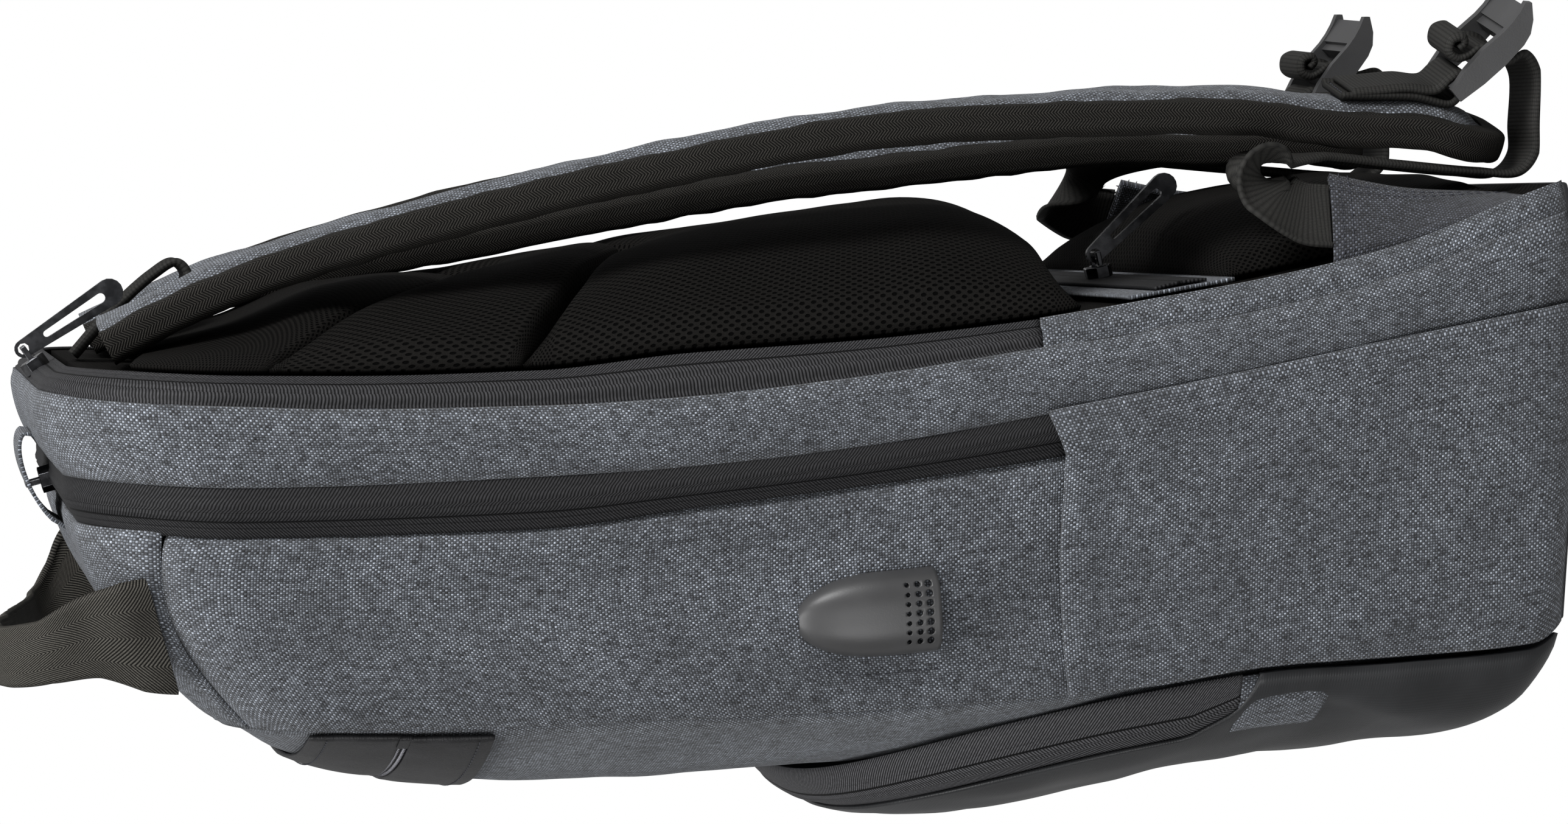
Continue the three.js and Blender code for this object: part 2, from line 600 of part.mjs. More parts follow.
// Back pocket between the two lower pads: a heathered strip with a zip across it.
const POCKET_STRIP = { low: 0.23 * HEIGHT, high: 0.301 * HEIGHT };
const BACK_ZIP = { low: 0.248 * HEIGHT, high: 0.283 * HEIGHT };
const stripHalf = (z) => halfWidthAt(BACK, z, panelInset - PAD_MARGIN);
const onBack = (rise) => (x, z) => seamY(BACK, z) + rise;
const lining = panelSlab(spread(POCKET_STRIP.low, POCKET_STRIP.high, 3), stripHalf, onBack(SKIN), onBack(0), 4);
add("back_pocket_lining", lining, heathered);
add("back_pocket_zip", panelSlab(
  spread(BACK_ZIP.low, BACK_ZIP.high, 2),
  (z) => stripHalf(z) - 2,
  onBack(SKIN * 2 + GAP),
  onBack(SKIN + GAP),
  4,
), zipBlack);

// A place on the skin with the directions along it, across it and out of it.
function seat(s, t, rise = 0) {
  const step = 0.01;
  const along = skin(s, t + step).sub(skin(s, t - step)).normalize();
  const across = skin(s + step, t).sub(skin(s - step, t)).normalize();
  const out = along.clone().cross(across).normalize();
  if (out.dot(skin(s, t, 1).sub(skin(s, t))) < 0) out.negate();
  return { place: skin(s, t).addScaledVector(out, rise), along, across, out };
}

// Zip sliders with a bail, and the pulls that swing on them. The zip runs along X at each. Angles are in the YZ
// plane, from +Y towards +Z: normal is the way out of the zip, pull the way its pull hangs.
const laptopSeat = seat(0.5, 1, GAP);
const backZipY = (z) => seamY(BACK, z) + SKIN * 2 + GAP * 2.5;
const BACK_SLIDER = { x: 42, z: 0.26537 * HEIGHT };
const LAPTOP_SLIDER_X = 20;
const SLIDERS = [
  { name: "laptop", place: laptopSeat.place.setX(LAPTOP_SLIDER_X), normal: 35, pull: -56 },
  { name: "back_pocket", place: point(BACK_SLIDER.x, backZipY(BACK_SLIDER.z), BACK_SLIDER.z), normal: 14, pull: -46 },
];
const bailRise = SLIDER_THICK + 4.2;
function sliderSolid() {
  const body = new THREE.Shape();
  const [l, w] = [SLIDER_LENGTH / 2, SLIDER_WIDTH / 2];
  body.moveTo(-l, -w * 0.75).lineTo(l * 0.2, -w).lineTo(l, -w * 0.5);
  body.lineTo(l, w * 0.5).lineTo(l * 0.2, w).lineTo(-l, w * 0.75);
  const plate = new THREE.ExtrudeGeometry(body, { depth: SLIDER_THICK, bevelEnabled: false });
  const post = (x) => new THREE.BoxGeometry(BAIL, BAIL, bailRise).translate(x, 0, bailRise / 2);
  const reach = SLIDER_LENGTH / 2 - 1.5;
  const bar = new THREE.BoxGeometry(2 * reach + BAIL, BAIL, BAIL).translate(0, 0, bailRise);
  return join(plate, post(-reach), post(reach), bar);
}
// A flat drop with an eye for the bail and a long slot. It lies along +Y in its own frame, edge to X.
function pullSolid() {
  const wide = PULL_WIDTH / 2;
  const shape = new THREE.Shape();
  shape.absarc(0, 0, wide * 0.66, Math.PI * 0.5, Math.PI * 1.5);
  shape.absarc(PULL_LENGTH - wide, 0, wide, -Math.PI / 2, Math.PI / 2);
  const eye = new THREE.Path().absarc(0, 0, BAIL * 0.5 + 1, 0, Math.PI * 2);
  const slot = new THREE.Path();
  slot.absarc(9, 0, 1.1, Math.PI / 2, Math.PI * 1.5);
  slot.absarc(PULL_LENGTH - 8, 0, 1.6, -Math.PI / 2, Math.PI / 2);
  shape.holes.push(eye, slot);
  const plate = new THREE.ExtrudeGeometry(shape, { depth: PULL_THICK, bevelEnabled: false, curveSegments: 4 });
  return plate.translate(0, 0, -PULL_THICK / 2).rotateX(Math.PI / 2).rotateZ(Math.PI / 2);
}
for (const { name, place, normal, pull } of SLIDERS) {
  const up = degToRad(normal);
  const slider = add(name + "_slider", sliderSolid(), nickel);
  slider.position.copy(place);
  slider.rotation.x = up - Math.PI / 2;
  const tab = add(name + "_pull", pullSolid(), nickel);
  tab.position.set(place.x, place.y + bailRise * Math.cos(up), place.z + bailRise * Math.sin(up));
  tab.rotation.x = degToRad(pull);
}

// Main zip: its slider rests under a fabric garage at the top.
const mainSeat = seat(2.5, 1, GAP);
const mainSlider = add("main_slider", sliderSolid(), nickel);
mainSlider.position.copy(mainSeat.place);
mainSlider.rotation.x = Math.atan2(mainSeat.out.z, mainSeat.out.y) - Math.PI / 2;
const GARAGE = { from: 9, to: -34, rise: 11.5 }; // along X, and above the zip
const garageRing = (x, lessen) => {
  const { width, corner } = outlineAt(2.5);
  const t = 1 - ((1 - CORNER_END) * x) / (width - corner);
  const [rear, front] = [skin(1.72, t, LAY), skin(3.16, t, LAY)];
  const inward = lessen / rear.distanceTo(front);
  const rise = mainSeat.out.clone().multiplyScalar(GARAGE.rise - lessen);
  const feet = [rear.clone().lerp(front, inward), front.clone().lerp(rear, inward)];
  const tops = [0.16 + inward, 0.84 - inward].map((f) => rear.clone().lerp(front, f).add(rise));
  return [feet[0], ...tops, feet[1]];
};
const garageLine = spread(GARAGE.from, GARAGE.to, 4);
add("zip_garage", slab(garageLine.map((x) => garageRing(x, 0)), garageLine.map((x) => garageRing(x, SKIN))), heathered);

// Shoulder straps.
const strapCurve = ({ side, endAcross, arch }) =>
  new THREE.CatmullRomCurve3(STRAP_LINE.map(({ up, drift, behind }) => {
    const z = up * HEIGHT;
    const across = lerp(STRAP_TOP_ACROSS, endAcross, drift);
    return point(side * across * HALF_WIDTH, seamY(BACK, z) + arch * behind * DEPTH, z);
  }), false, "centripetal");
// Middle, outward and sideways directions of a strap at a share of its length; sideways is away from the bag's middle.
function strapFrame(strap, curve, u) {
  const middle = curve.getPointAt(clamp(u, 0, 1));
  const along = curve.getTangentAt(clamp(u, 0, 1));
  const level = point(0, -along.z, along.y).normalize();
  const flat = level.clone().cross(along).normalize();
  if (flat.x * strap.side < 0) flat.negate();
  const turn = degToRad(lerp(strap.turn, strap.endTurn, clamp((u - 0.6) / 0.35, 0, 1)) * clamp(u / 0.3, 0, 1));
  const outward = level.clone().multiplyScalar(Math.cos(turn)).addScaledVector(flat, Math.sin(turn));
  const sideways = flat.clone().multiplyScalar(Math.cos(turn)).addScaledVector(level, -Math.sin(turn));
  return { middle, along, outward, sideways };
}
const strapHalf = (u) => lerp(STRAP_WIDTH, STRAP_END_WIDTH, clamp((u - 0.45) / 0.4, 0, 1)) / 2;
const onFrame = ({ middle, outward, sideways }, across, rise) =>
  middle.clone().addScaledVector(sideways, across).addScaledVector(outward, rise);
const edge = STRAP_EDGE / 2;
const bodyEdge = BINDING + GAP;
const hem = 9; // how far the binding reaches over both faces
const RIM_PROFILE = [
  { from: 0, over: 0.55, under: 0.55 },
  { from: 1.6, over: 0.75, under: 0.8 },
  { from: hem - 1, over: 0.85, under: 0.95 },
]; // a strap's faces by the distance from its rim in millimetres, as shares of half the edge's thickness
// A strap's section. past is how far it lies beyond the middle of the rounded end, whose radius is given.
function strapSection(half, past = 0, radius = half) {
  const shoulder = Math.min(hem - 1, half * 0.5);
  const columns = [half, half - 1.6, half - shoulder, half * 0.35].filter((a) => a > 0.5);
  const inside = (a) => radius - Math.hypot(a, past);
  const over = (a) => {
    const rise = edge * read(RIM_PROFILE, "from", inside(a), (row) => row.over);
    const crown = edge + (STRAP_CROWN * radius) / (STRAP_WIDTH / 2);
    return lerp(rise, crown, clamp((inside(a) - hem + 1) / (radius * 0.65 - hem + 1), 0, 1));
  };
  const under = (a) => -edge * read(RIM_PROFILE, "from", inside(a), (row) => row.under);
  return [
    ...columns.slice(0, 3).reverse().map((a) => [-a, under(a)]), ...columns.map((a) => [-a, over(a)]),
    ...columns.toReversed().map((a) => [a, over(a)]), ...columns.slice(0, 3).map((a) => [a, under(a)]),
  ];
}
const bindingChannel = [
  [-hem, edge * 0.84 + GAP + 1.1], [-1.6, edge], [0, edge * 0.62], [0, -edge * 0.62],
  [-1.6, -edge * 1.05 - GAP], [-hem, -edge * 0.95 - GAP - 1.1],
  [-hem, -edge * 0.95 - GAP], [-BINDING, -edge * 0.75], [-BINDING, edge * 0.72], [-hem, edge * 0.84 + GAP],
];
const straps = STRAPS.map((strap) => ({ ...strap, curve: strapCurve(strap) }));
for (const strap of straps) {
  const { name, curve } = strap;
  const length = curve.getLength();
  const noseRadius = STRAP_END_WIDTH / 2;
  const noseAt = 1 - noseRadius / length;
  const stations = spread(0, noseAt, 12);
  const nose = strapFrame(strap, curve, noseAt);
  const bodyRadius = noseRadius - bodyEdge - GAP;
  const bodyRings = [
    ...stations.map((u) => ({ frame: strapFrame(strap, curve, u), section: strapSection(strapHalf(u) - bodyEdge) })),
    ...[0.35, 0.65, 0.86, 0.97].map((f) => ({
      frame: { ...nose, middle: nose.middle.clone().addScaledVector(nose.along, f * bodyRadius) },
      section: strapSection(bodyRadius * Math.sqrt(1 - f ** 2), f * bodyRadius, bodyRadius),
    })),
  ].map(({ frame, section }) => section.map(([a, b]) => onFrame(frame, a, b)));
  add("strap_" + name, sweep(bodyRings), heathered);
  // the binding runs down one edge, round the nose and up the other
  const channelAt = (frame, half, turn) => {
    const reach = frame.sideways.clone().multiplyScalar(Math.cos(turn)).addScaledVector(frame.along, Math.sin(turn));
    return bindingChannel.map(([a, b]) =>
      frame.middle.clone().addScaledVector(reach, half + a).addScaledVector(frame.outward, b));
  };
  add("strap_binding_" + name, sweep([
    ...stations.map((u) => channelAt(strapFrame(strap, curve, u), strapHalf(u), 0)),
    ...spread(0, Math.PI, 7).slice(1, -1).map((turn) => channelAt(nose, noseRadius, turn)),
    ...stations.toReversed().map((u) => channelAt(strapFrame(strap, curve, u), strapHalf(u), Math.PI)),
  ]), meshBlack);
}

// A flat band through places, each with the direction across the band. Where a place is narrower, with a share
// of the width in wide, the band is folded over and as much thicker.
function flatBand(stops, width, thick, steps) {
  const line = new THREE.CatmullRomCurve3(stops.map(({ at }) => at), false, "centripetal");
  const rings = spread(0, 1, steps).map((u) => {
    const place = u * (stops.length - 1);
    const i = Math.min(Math.floor(place), stops.length - 2);
    const across = stops[i].across.clone().lerp(stops[i + 1].across, place - i);
    const along = line.getTangent(u);
    const side = across.addScaledVector(along, -across.dot(along)).normalize();
    const up = along.clone().cross(side);
    const middle = line.getPoint(u);
    const wide = lerp(stops[i].wide ?? 1, stops[i + 1].wide ?? 1, place - i);
    return [[1, 1], [-1, 1], [-1, -1], [1, -1]].map(([a, b]) =>
      middle.clone().addScaledVector(side, (a * width * wide) / 2).addScaledVector(up, (b * thick) / wide / 2));
  });
  return sweep(rings);
}
const across = point(1, 0, 0);

// Wings: doubled fabric fins on the back seam that hold the adjusters' webbing.
const WING = { low: 16, high: 80, rise: 28, lean: 20, thick: 3, inset: 5 };
const wingRoot = (z) => point(outlineAt(BACK).width - WING.inset, seamY(BACK, z) + GAP, z);
function wingEdge(z) {
  const share = (z - WING.low) / (WING.high - WING.low);
  return wingRoot(z).add(point(-WING.lean, 1 + WING.rise * share, -5 * share));
}
for (const { side, name } of STRAPS) {
  const wingGrid = (layer) =>
    spread(WING.low, WING.high, 5).map((z) => [wingRoot(z), wingEdge(z)].map((p) =>
      point(side * (p.x + (layer - 0.5) * WING.thick), p.y, p.z)));
  add("wing_" + name, slab(wingGrid(0), wingGrid(1)), heathered);
}

// Ladder locks, their sewn webbing and the adjusters' webbing, each on its own strap.
const LOCK = {
  at: 0.945, // share of the strap's length
  rise: 14, // above the strap's middle line
  tilt: 57, // degrees out of the strap's face
  rail: 3.4,
  flare: 9,
};
const barEnds = (i) => [i * (LOCK_BAR + LOCK_SLOT), i * (LOCK_BAR + LOCK_SLOT) + LOCK_BAR];
function lockSolid() {
  const profile = new THREE.Shape();
  const far = LOCK_LENGTH;
  profile.moveTo(-0.5, -3).lineTo(-0.5, 2);
  profile.quadraticCurveTo(far * 0.3, 6.5, far * 0.68, 6).quadraticCurveTo(far * 0.85, 6.5, far, LOCK.flare);
  profile.lineTo(far + 1.5, LOCK.flare - 1.5).quadraticCurveTo(far * 0.92, -1, far * 0.75, -2);
  profile.quadraticCurveTo(far * 0.4, -4.5, -0.5, -3);
  const rail = (x) => {
    const solid = new THREE.ExtrudeGeometry(profile, { depth: LOCK.rail, bevelEnabled: false, curveSegments: 3 });
    // the profile's length runs along +Y and its height along +Z
    return solid.rotateX(Math.PI / 2).rotateZ(Math.PI / 2).translate(x, 0, 0);
  };
  const bar = (from, to, low, high) =>
    new THREE.BoxGeometry(LOCK_WIDTH - LOCK.rail, to - from, high - low).translate(0, (from + to) / 2, (low + high) / 2);
  const half = LOCK_WIDTH / 2;
  const thick = LOCK_THICK / 2;
  const lip = bar(barEnds(2)[1] - 1, far, -1.2, 1.2).rotateX(degToRad(10));
  return join(
    rail(half - LOCK.rail), rail(-half),
    bar(...barEnds(0), -thick, thick), bar(...barEnds(1), -thick, thick), bar(...barEnds(2), 0, thick * 2), lip,
  );
}
for (const strap of straps) {
  const { side, name, curve } = strap;
  const seatFrame = strapFrame(strap, curve, LOCK.at);
  const tilt = degToRad(LOCK.tilt);
  const down = seatFrame.along.clone().multiplyScalar(Math.cos(tilt)).addScaledVector(seatFrame.outward, Math.sin(tilt));
  const out = seatFrame.outward.clone().multiplyScalar(Math.cos(tilt)).addScaledVector(seatFrame.along, -Math.sin(tilt));
  const level = down.clone().cross(out);
  const origin = onFrame(seatFrame, 0, LOCK.rise);
  const lock = add("lock_" + name, lockSolid(), plastic);
  lock.position.copy(origin);
  lock.setRotationFromMatrix(new THREE.Matrix4().makeBasis(level, down, out));
  const inLock = (l, n) => ({ at: origin.clone().addScaledVector(down, l).addScaledVector(out, n), across: level });
  const onStrap = (u, rise) => {
    const frame = strapFrame(strap, curve, u);
    return { at: onFrame(frame, 0, rise), across: level };
  };
  const crown = edge + STRAP_CROWN + GAP + WEBBING / 2;
  const sewn = [
    onStrap(0.872, crown), onStrap(0.9, crown), onStrap(0.925, crown), inLock(-3, -4), inLock(2, -4), inLock(6.3, -3),
    inLock(7.2, 0), inLock(6, 3.2), inLock(2, 4), inLock(-3, 4.2), onStrap(0.92, crown + 4), onStrap(0.9, crown + 3),
    onStrap(0.88, crown + 2.2),
  ];
  add("strap_webbing_" + name, flatBand(sewn, WEB_WIDTH, WEBBING, 24), webbingBlack);
  // the adjuster: rolled tail, over the middle bar, down and back under the strap's end, and into the wing
  const [root, tip] = [wingRoot(WING.high), wingEdge(WING.high)];
  const mouth = root.clone().lerp(tip, 0.5);
  const wingAcross = tip.clone().sub(root).normalize();
  wingAcross.x *= side;
  mouth.x *= side;
  const landing = inLock(22, -9).at;
  const lowest = GAP + WEBBING;
  const back = wingEdge(WING.high).y;
  const inward = wingAcross.clone().multiplyScalar(-side);
  const upWing = point(0, 0, 1).addScaledVector(wingAcross, -wingAcross.z).normalize();
  const towardsWing = (share, y, z) => point(lerp(landing.x, mouth.x, share), y, z);
  const route = [
    inLock(11, 8.4), inLock(14, 8.6), inLock(15, 11.5), inLock(11, 13.6), inLock(7.4, 10.6), inLock(8.2, 6.4),
    inLock(12, 4.4), inLock(16.5, 3.6), inLock(19.2, 0), inLock(20.2, -6),
    { at: point(landing.x, landing.y + 1, lowest + 3.5), across },
    { at: point(landing.x, landing.y - 4, lowest), across },
    { at: towardsWing(0, seatFrame.middle.y, lowest), across },
    { at: towardsWing(0, back + 8, lowest), across },
    { at: towardsWing(0, back + 2, lowest + 5), across },
    { at: towardsWing(0.02, back + 2, WING.high * 0.275), across },
    { at: towardsWing(0.1, back + 4, WING.high * 0.625), across },
    { at: towardsWing(0.3, back + 6, WING.high), across },
    { at: towardsWing(0.62, back + 3, WING.high + 19), across: across.clone().lerp(inward, 0.35) },
    { at: towardsWing(0.93, lerp(mouth.y, back, 0.5), WING.high + 17), across: inward },
    { at: mouth.clone().addScaledVector(upWing, 10), across: inward },
    { at: mouth.clone().addScaledVector(upWing, GAP), across: inward },
  ];
  add("adjuster_" + name, flatBand(route, WEB_WIDTH, WEBBING, 48), webbingBlack);
}

// Hang loop of doubled webbing at the top of the back.
const loopTop = outlineAt(BACK).top;
const loopBase = seamY(BACK, loopTop) + WEBBING / 2;
const hangLoop = [[0, -8], [14, -20], [27, -34], [31, -41], [27, -44], [14, -34], [0, -22]];
add("hang_loop", flatBand(
  hangLoop.map(([y, z]) => ({ at: point(0, loopBase + y, loopTop + z), across })), WEB_WIDTH, WEBBING, 18,
), webbingBlack);

// Haul handle: webbing sewn in at both chamfer seams, folded over at the grip and fallen to the far side.
const seamRear = skin(MAIN_FRONT, sideTop(MAIN_FRONT));
const seamFore = skin(FRONT, sideTop(FRONT));
const alongSeam = seamFore.clone().sub(seamRear).normalize();
const HANDLE_AT = 3.5; // where its middle is sewn in, between the seams
const legFoot = seat(HANDLE_AT, sideTop(HANDLE_AT), HANDLE_THICK / 2 + GAP * 1.75).place;
// Its line from the hood's side: across as a share of the way to the other foot, up as a share of HANDLE_RISE,
// forward and wide as shares of HANDLE_WIDTH.
const HANDLE_LINE = [
  { across: 0, up: 0.05, forward: 0.02, wide: 1 },
  { across: -0.006, up: 0.24, forward: 0.02, wide: 0.92 },
  { across: 0.004, up: 0.48, forward: 0.02, wide: 0.68 },
  { across: 0.014, up: 0.76, forward: 0.14, wide: 0.52 },
  { across: 0.05, up: 0.96, forward: 0.2, wide: 0.5 },
  { across: 0.14, up: 1.0, forward: 0.24, wide: 0.5 },
  { across: 0.5, up: 0.84, forward: 0.36, wide: 0.5 },
  { across: 0.85, up: 0.62, forward: 0.46, wide: 0.5 },
  { across: 0.95, up: 0.54, forward: 0.42, wide: 0.54 },
  { across: 0.985, up: 0.42, forward: 0.28, wide: 0.68 },
  { across: 1.004, up: 0.22, forward: 0.04, wide: 0.94 },
  { across: 1.0, up: 0.05, forward: 0.02, wide: 1 },
];
const handleStops = HANDLE_LINE.map(({ across, up, forward, wide }) => {
  const way = alongSeam.clone().lerp(point(0, -1, -0.12), clamp(up * 1.1, 0, 1)).normalize();
  const at = point(legFoot.x * (1 - 2 * across), legFoot.y - forward * HANDLE_WIDTH, legFoot.z + up * HANDLE_RISE);
  return { at, across: way.setX(across < 0.5 ? way.x : -way.x), wide };
});
add("haul_handle", flatBand(handleStops, HANDLE_WIDTH, HANDLE_THICK, 30), webbingBlack);

// USB hood on the +X side: a rounded hollow shell, open at its lower end and pierced near it, over a plain port.
const HOOD = { y: -0.3867 * DEPTH, z: 0.4385 * HEIGHT, tilt: 5 }; // middle of its open end
const hoodPlace = (up, over) => {
  const angle = degToRad(HOOD.tilt);
  const y = HOOD.y - up * Math.sin(angle) + over * Math.cos(angle);
  const z = HOOD.z + up * Math.cos(angle) + over * Math.sin(angle);
  const [rear, fore] = [seamY(MAIN_FRONT, z), seamY(FRONT, z)];
  const s = MAIN_FRONT + (rear - y) / (rear - fore);
  return point(outlineAt(s).width + LAY, y, z);
};
const hoodHalf = (v) => (HOOD_WIDTH / 2) * (v < 0.4 ? 1 : Math.sqrt(1 - ((v - 0.4) / 0.61) ** 2));
const hoodRise = (v) => HOOD_RISE * Math.sqrt(1 - Math.max(0, (v - 0.12) / 0.9) ** 2.4);
const hoodGrid = (thin) =>
  [0, 0.3, 0.5, 0.7, 0.85, 0.97].map((v) => [-1, -0.93, -0.7, -0.3, 0.3, 0.7, 0.93, 1].map((u) => {
    const place = hoodPlace(v * (HOOD_LENGTH - thin), u * Math.max(hoodHalf(v) - thin, 0.6));
    const rise = Math.max(hoodRise(v) - thin, 0.3) * Math.sqrt(1 - Math.abs(u) ** 4);
    return point(place.x + rise, place.y, place.z);
  }));
const holes = [];
for (const [row, radius] of [1.1, 0.9, 0.7].entries())
  for (const column of spread(-1, 1, 6)) {
    const at = hoodPlace(3.6 + row * 3.4, column * (HOOD_WIDTH / 2 - 5));
    const pin = new THREE.CylinderGeometry(radius, radius, HOOD_RISE, 4);
    holes.push(pin.rotateZ(Math.PI / 2).translate(at.x + HOOD_RISE, at.y, at.z));
  }
add("usb_hood", cut(slab(hoodGrid(0), hoodGrid(HOOD_WALL)), ...holes), plastic);
const PORT = { wide: 12, deep: 6, tall: 9, up: 22 };
const portPlace = hoodPlace(PORT.up, 0);
const portBlock = new THREE.BoxGeometry(PORT.deep, PORT.wide, PORT.tall);
const portMouth = new THREE.BoxGeometry(PORT.deep - 2.4, PORT.wide - 2.4, PORT.tall);
const port = cut(portBlock, portMouth.translate(0, 0, -2));
port.translate(portPlace.x + PORT.deep / 2 + GAP, portPlace.y, portPlace.z);
add("usb_port", port, plastic);

export default bag;
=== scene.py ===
import math

import bmesh
import bpy
import numpy as np
from mathutils import Matrix, Vector, noise


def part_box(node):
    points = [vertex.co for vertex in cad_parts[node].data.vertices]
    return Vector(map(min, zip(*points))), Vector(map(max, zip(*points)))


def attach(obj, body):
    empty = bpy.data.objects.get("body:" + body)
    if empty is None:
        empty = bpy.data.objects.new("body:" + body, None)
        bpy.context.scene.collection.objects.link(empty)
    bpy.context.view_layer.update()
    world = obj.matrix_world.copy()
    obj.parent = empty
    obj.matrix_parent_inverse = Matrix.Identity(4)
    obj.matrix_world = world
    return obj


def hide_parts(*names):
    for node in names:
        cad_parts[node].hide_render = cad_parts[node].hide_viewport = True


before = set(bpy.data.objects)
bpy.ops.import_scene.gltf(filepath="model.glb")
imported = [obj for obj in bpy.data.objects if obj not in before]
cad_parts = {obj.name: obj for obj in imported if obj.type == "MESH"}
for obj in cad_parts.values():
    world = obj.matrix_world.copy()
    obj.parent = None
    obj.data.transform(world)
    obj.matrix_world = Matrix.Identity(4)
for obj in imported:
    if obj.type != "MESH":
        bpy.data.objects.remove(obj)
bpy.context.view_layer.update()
MM = 0.001

# The view. The bag stands on its base, and the photograph lies on its side: height runs to the left and the
# back is up. The camera looks at the side with the USB hood from a little above and a little behind.
CAMERA_PLACE = Vector((1.4658, 0.0604, 0.5415))
CAMERA_AIM = Vector((0.0, -0.0036, 0.2297))


def put(name, data):
    """A new object at the origin, in the scene."""
    piece = bpy.data.objects.new(name, data)
    bpy.context.scene.collection.objects.link(piece)
    return piece


camera = put("camera", bpy.data.cameras.new("camera"))
camera.data.sensor_width = 36.0
camera.data.lens = 100.0
ahead = (CAMERA_AIM - CAMERA_PLACE).normalized()
picture_right = -(Vector((0, 0, 1)) - ahead * ahead.z).normalized()
picture_up = picture_right.cross(ahead)
turned = Matrix((picture_right, picture_up, -ahead)).transposed().to_4x4()
camera.matrix_world = Matrix.Translation(CAMERA_PLACE) @ turned
bpy.context.scene.camera = camera
bpy.context.scene.view_settings.view_transform = "Standard"

# Studio: a white floor that melts into a white surround. A large soft light stands behind the bag, one
# hangs over it and one fills from the front.
SEEN_STRENGTH = 1.0
FILL_STRENGTH = 0.4
world = bpy.data.worlds.new("surround")
world.use_nodes = True
surround = world.node_tree
surround.nodes["Background"].inputs["Color"].default_value = (1.0, 1.0, 1.0, 1.0)
ray = surround.nodes.new("ShaderNodeLightPath")
strength = surround.nodes.new("ShaderNodeMapRange")
strength.inputs["To Min"].default_value = FILL_STRENGTH
strength.inputs["To Max"].default_value = SEEN_STRENGTH
surround.links.new(ray.outputs["Is Camera Ray"], strength.inputs["Value"])
surround.links.new(strength.outputs["Result"], surround.nodes["Background"].inputs["Strength"])
bpy.context.scene.world = world


def soft_light(name, place, aim, size, power):
    lamp = put(name, bpy.data.lights.new(name, "AREA"))
    lamp.data.shape = "DISK"
    lamp.data.size = size
    lamp.data.energy = power
    lamp.location = place
    lamp.rotation_euler = (Vector(aim) - Vector(place)).to_track_quat("-Z", "Y").to_euler()


soft_light("key_light", (0.9, 1.3, 1.2), (0.0, 0.0, 0.25), 0.8, 36.0)
soft_light("top_light", (0.6, -0.4, 1.9), (0.0, 0.0, 0.25), 1.1, 25.0)
soft_light("front_light", (1.8, -1.0, 0.3), (0.0, 0.0, 0.2), 1.0, 17.0)


# Every material is made with these two classes. A Wire is one socket, and arithmetic on it adds Math nodes.
class Wire:
    def __init__(self, finish, socket):
        self.finish = finish
        self.socket = socket

    def maths(self, operation, first, second=0.0, third=0.0):
        values = {0: first, 1: second, 2: third}
        return self.finish.node("ShaderNodeMath", {"operation": operation}, values)

    def __add__(self, other):
        return self.maths("ADD", self, other)

    def __sub__(self, other):
        return self.maths("SUBTRACT", self, other)

    def __rsub__(self, other):
        return self.maths("SUBTRACT", other, self)

    def __mul__(self, other):
        return self.maths("MULTIPLY", self, other)

    def __truediv__(self, other):
        return self.maths("DIVIDE", self, other)

    def __pow__(self, other):
        return self.maths("POWER", self, other)

    def __mod__(self, other):
        return self.maths("FLOORED_MODULO", self, other)

    __radd__ = __add__
    __rmul__ = __mul__

    def floor(self):
        return self.maths("FLOOR", self)

    def abs(self):
        return self.maths("ABSOLUTE", self)

    def sine(self):
        return self.maths("SINE", self)

    def ribs(self):
        """One rounded rib for each whole number passed."""
        return ((self % 1.0) * math.pi).sine()

    def least(self, other):
        return self.maths("MINIMUM", self, other)

    def rises(self, low, high):
        """0 below low, 1 above high and smooth between."""
        ends = {"Value": self, "From Min": low, "From Max": high}
        return self.finish.node("ShaderNodeMapRange", {"interpolation_type": "SMOOTHSTEP"}, ends)


class Finish:
    def __init__(self, name, **shader):
        self.material = bpy.data.materials.new(name)
        self.material.use_nodes = True
        self.tree = self.material.node_tree
        self.shader = self.tree.nodes["Principled BSDF"]
        for key, value in shader.items():
            self.feed(key.replace("_", " "), value)

    def node(self, kind, settings, sockets, output=0):
        made = self.tree.nodes.new(kind)
        for key, value in settings.items():
            setattr(made, key, value)
        for key, value in sockets.items():
            self.join(made.inputs[key], value)
        return Wire(self, made.outputs[output])

    def join(self, socket, value):
        if isinstance(value, Wire):
            self.tree.links.new(value.socket, socket)
        else:
            socket.default_value = value

    def feed(self, name, value):
        self.join(self.shader.inputs[name], value)

    def along_cloth(self):
        """Metres along and across the piece, from its own map."""
        place = self.node("ShaderNodeUVMap", {"uv_map": "cloth"}, {})
        apart = [self.node("ShaderNodeSeparateXYZ", {}, {0: place}, output=k) for k in (0, 1)]
        return place, *apart

    def place(self, x, y, z=0.0):
        return self.node("ShaderNodeCombineXYZ", {}, {"X": x, "Y": y, "Z": z})

    def noise(self, place, scale, detail=2.0):
        values = {"Vector": place, "Scale": scale, "Detail": detail}
        return self.node("ShaderNodeTexNoise", {}, values, output="Fac")

    def dice(self, place):
        settings = {"noise_dimensions": "3D"}
        return self.node("ShaderNodeTexWhiteNoise", settings, {"Vector": place}, output="Value")

    def mix(self, share, first, second):
        values = {0: share, 6: first, 7: second}
        return self.node("ShaderNodeMix", {"data_type": "RGBA"}, values, output=2)

    def shades(self, share, dark, light):
        """Base colour between two colours of red, green and blue."""
        self.feed("Base Color", self.mix(share, (*dark, 1), (*light, 1)))

    def in_piece(self):
        """Place in the piece's own space, in metres."""
        return self.node("ShaderNodeTexCoord", {}, {}, output="Object")

    def bump(self, height, distance, strength=1.0):
        values = {"Height": height, "Distance": distance, "Strength": strength}
        self.feed("Normal", self.node("ShaderNodeBump", {}, values, output="Normal"))


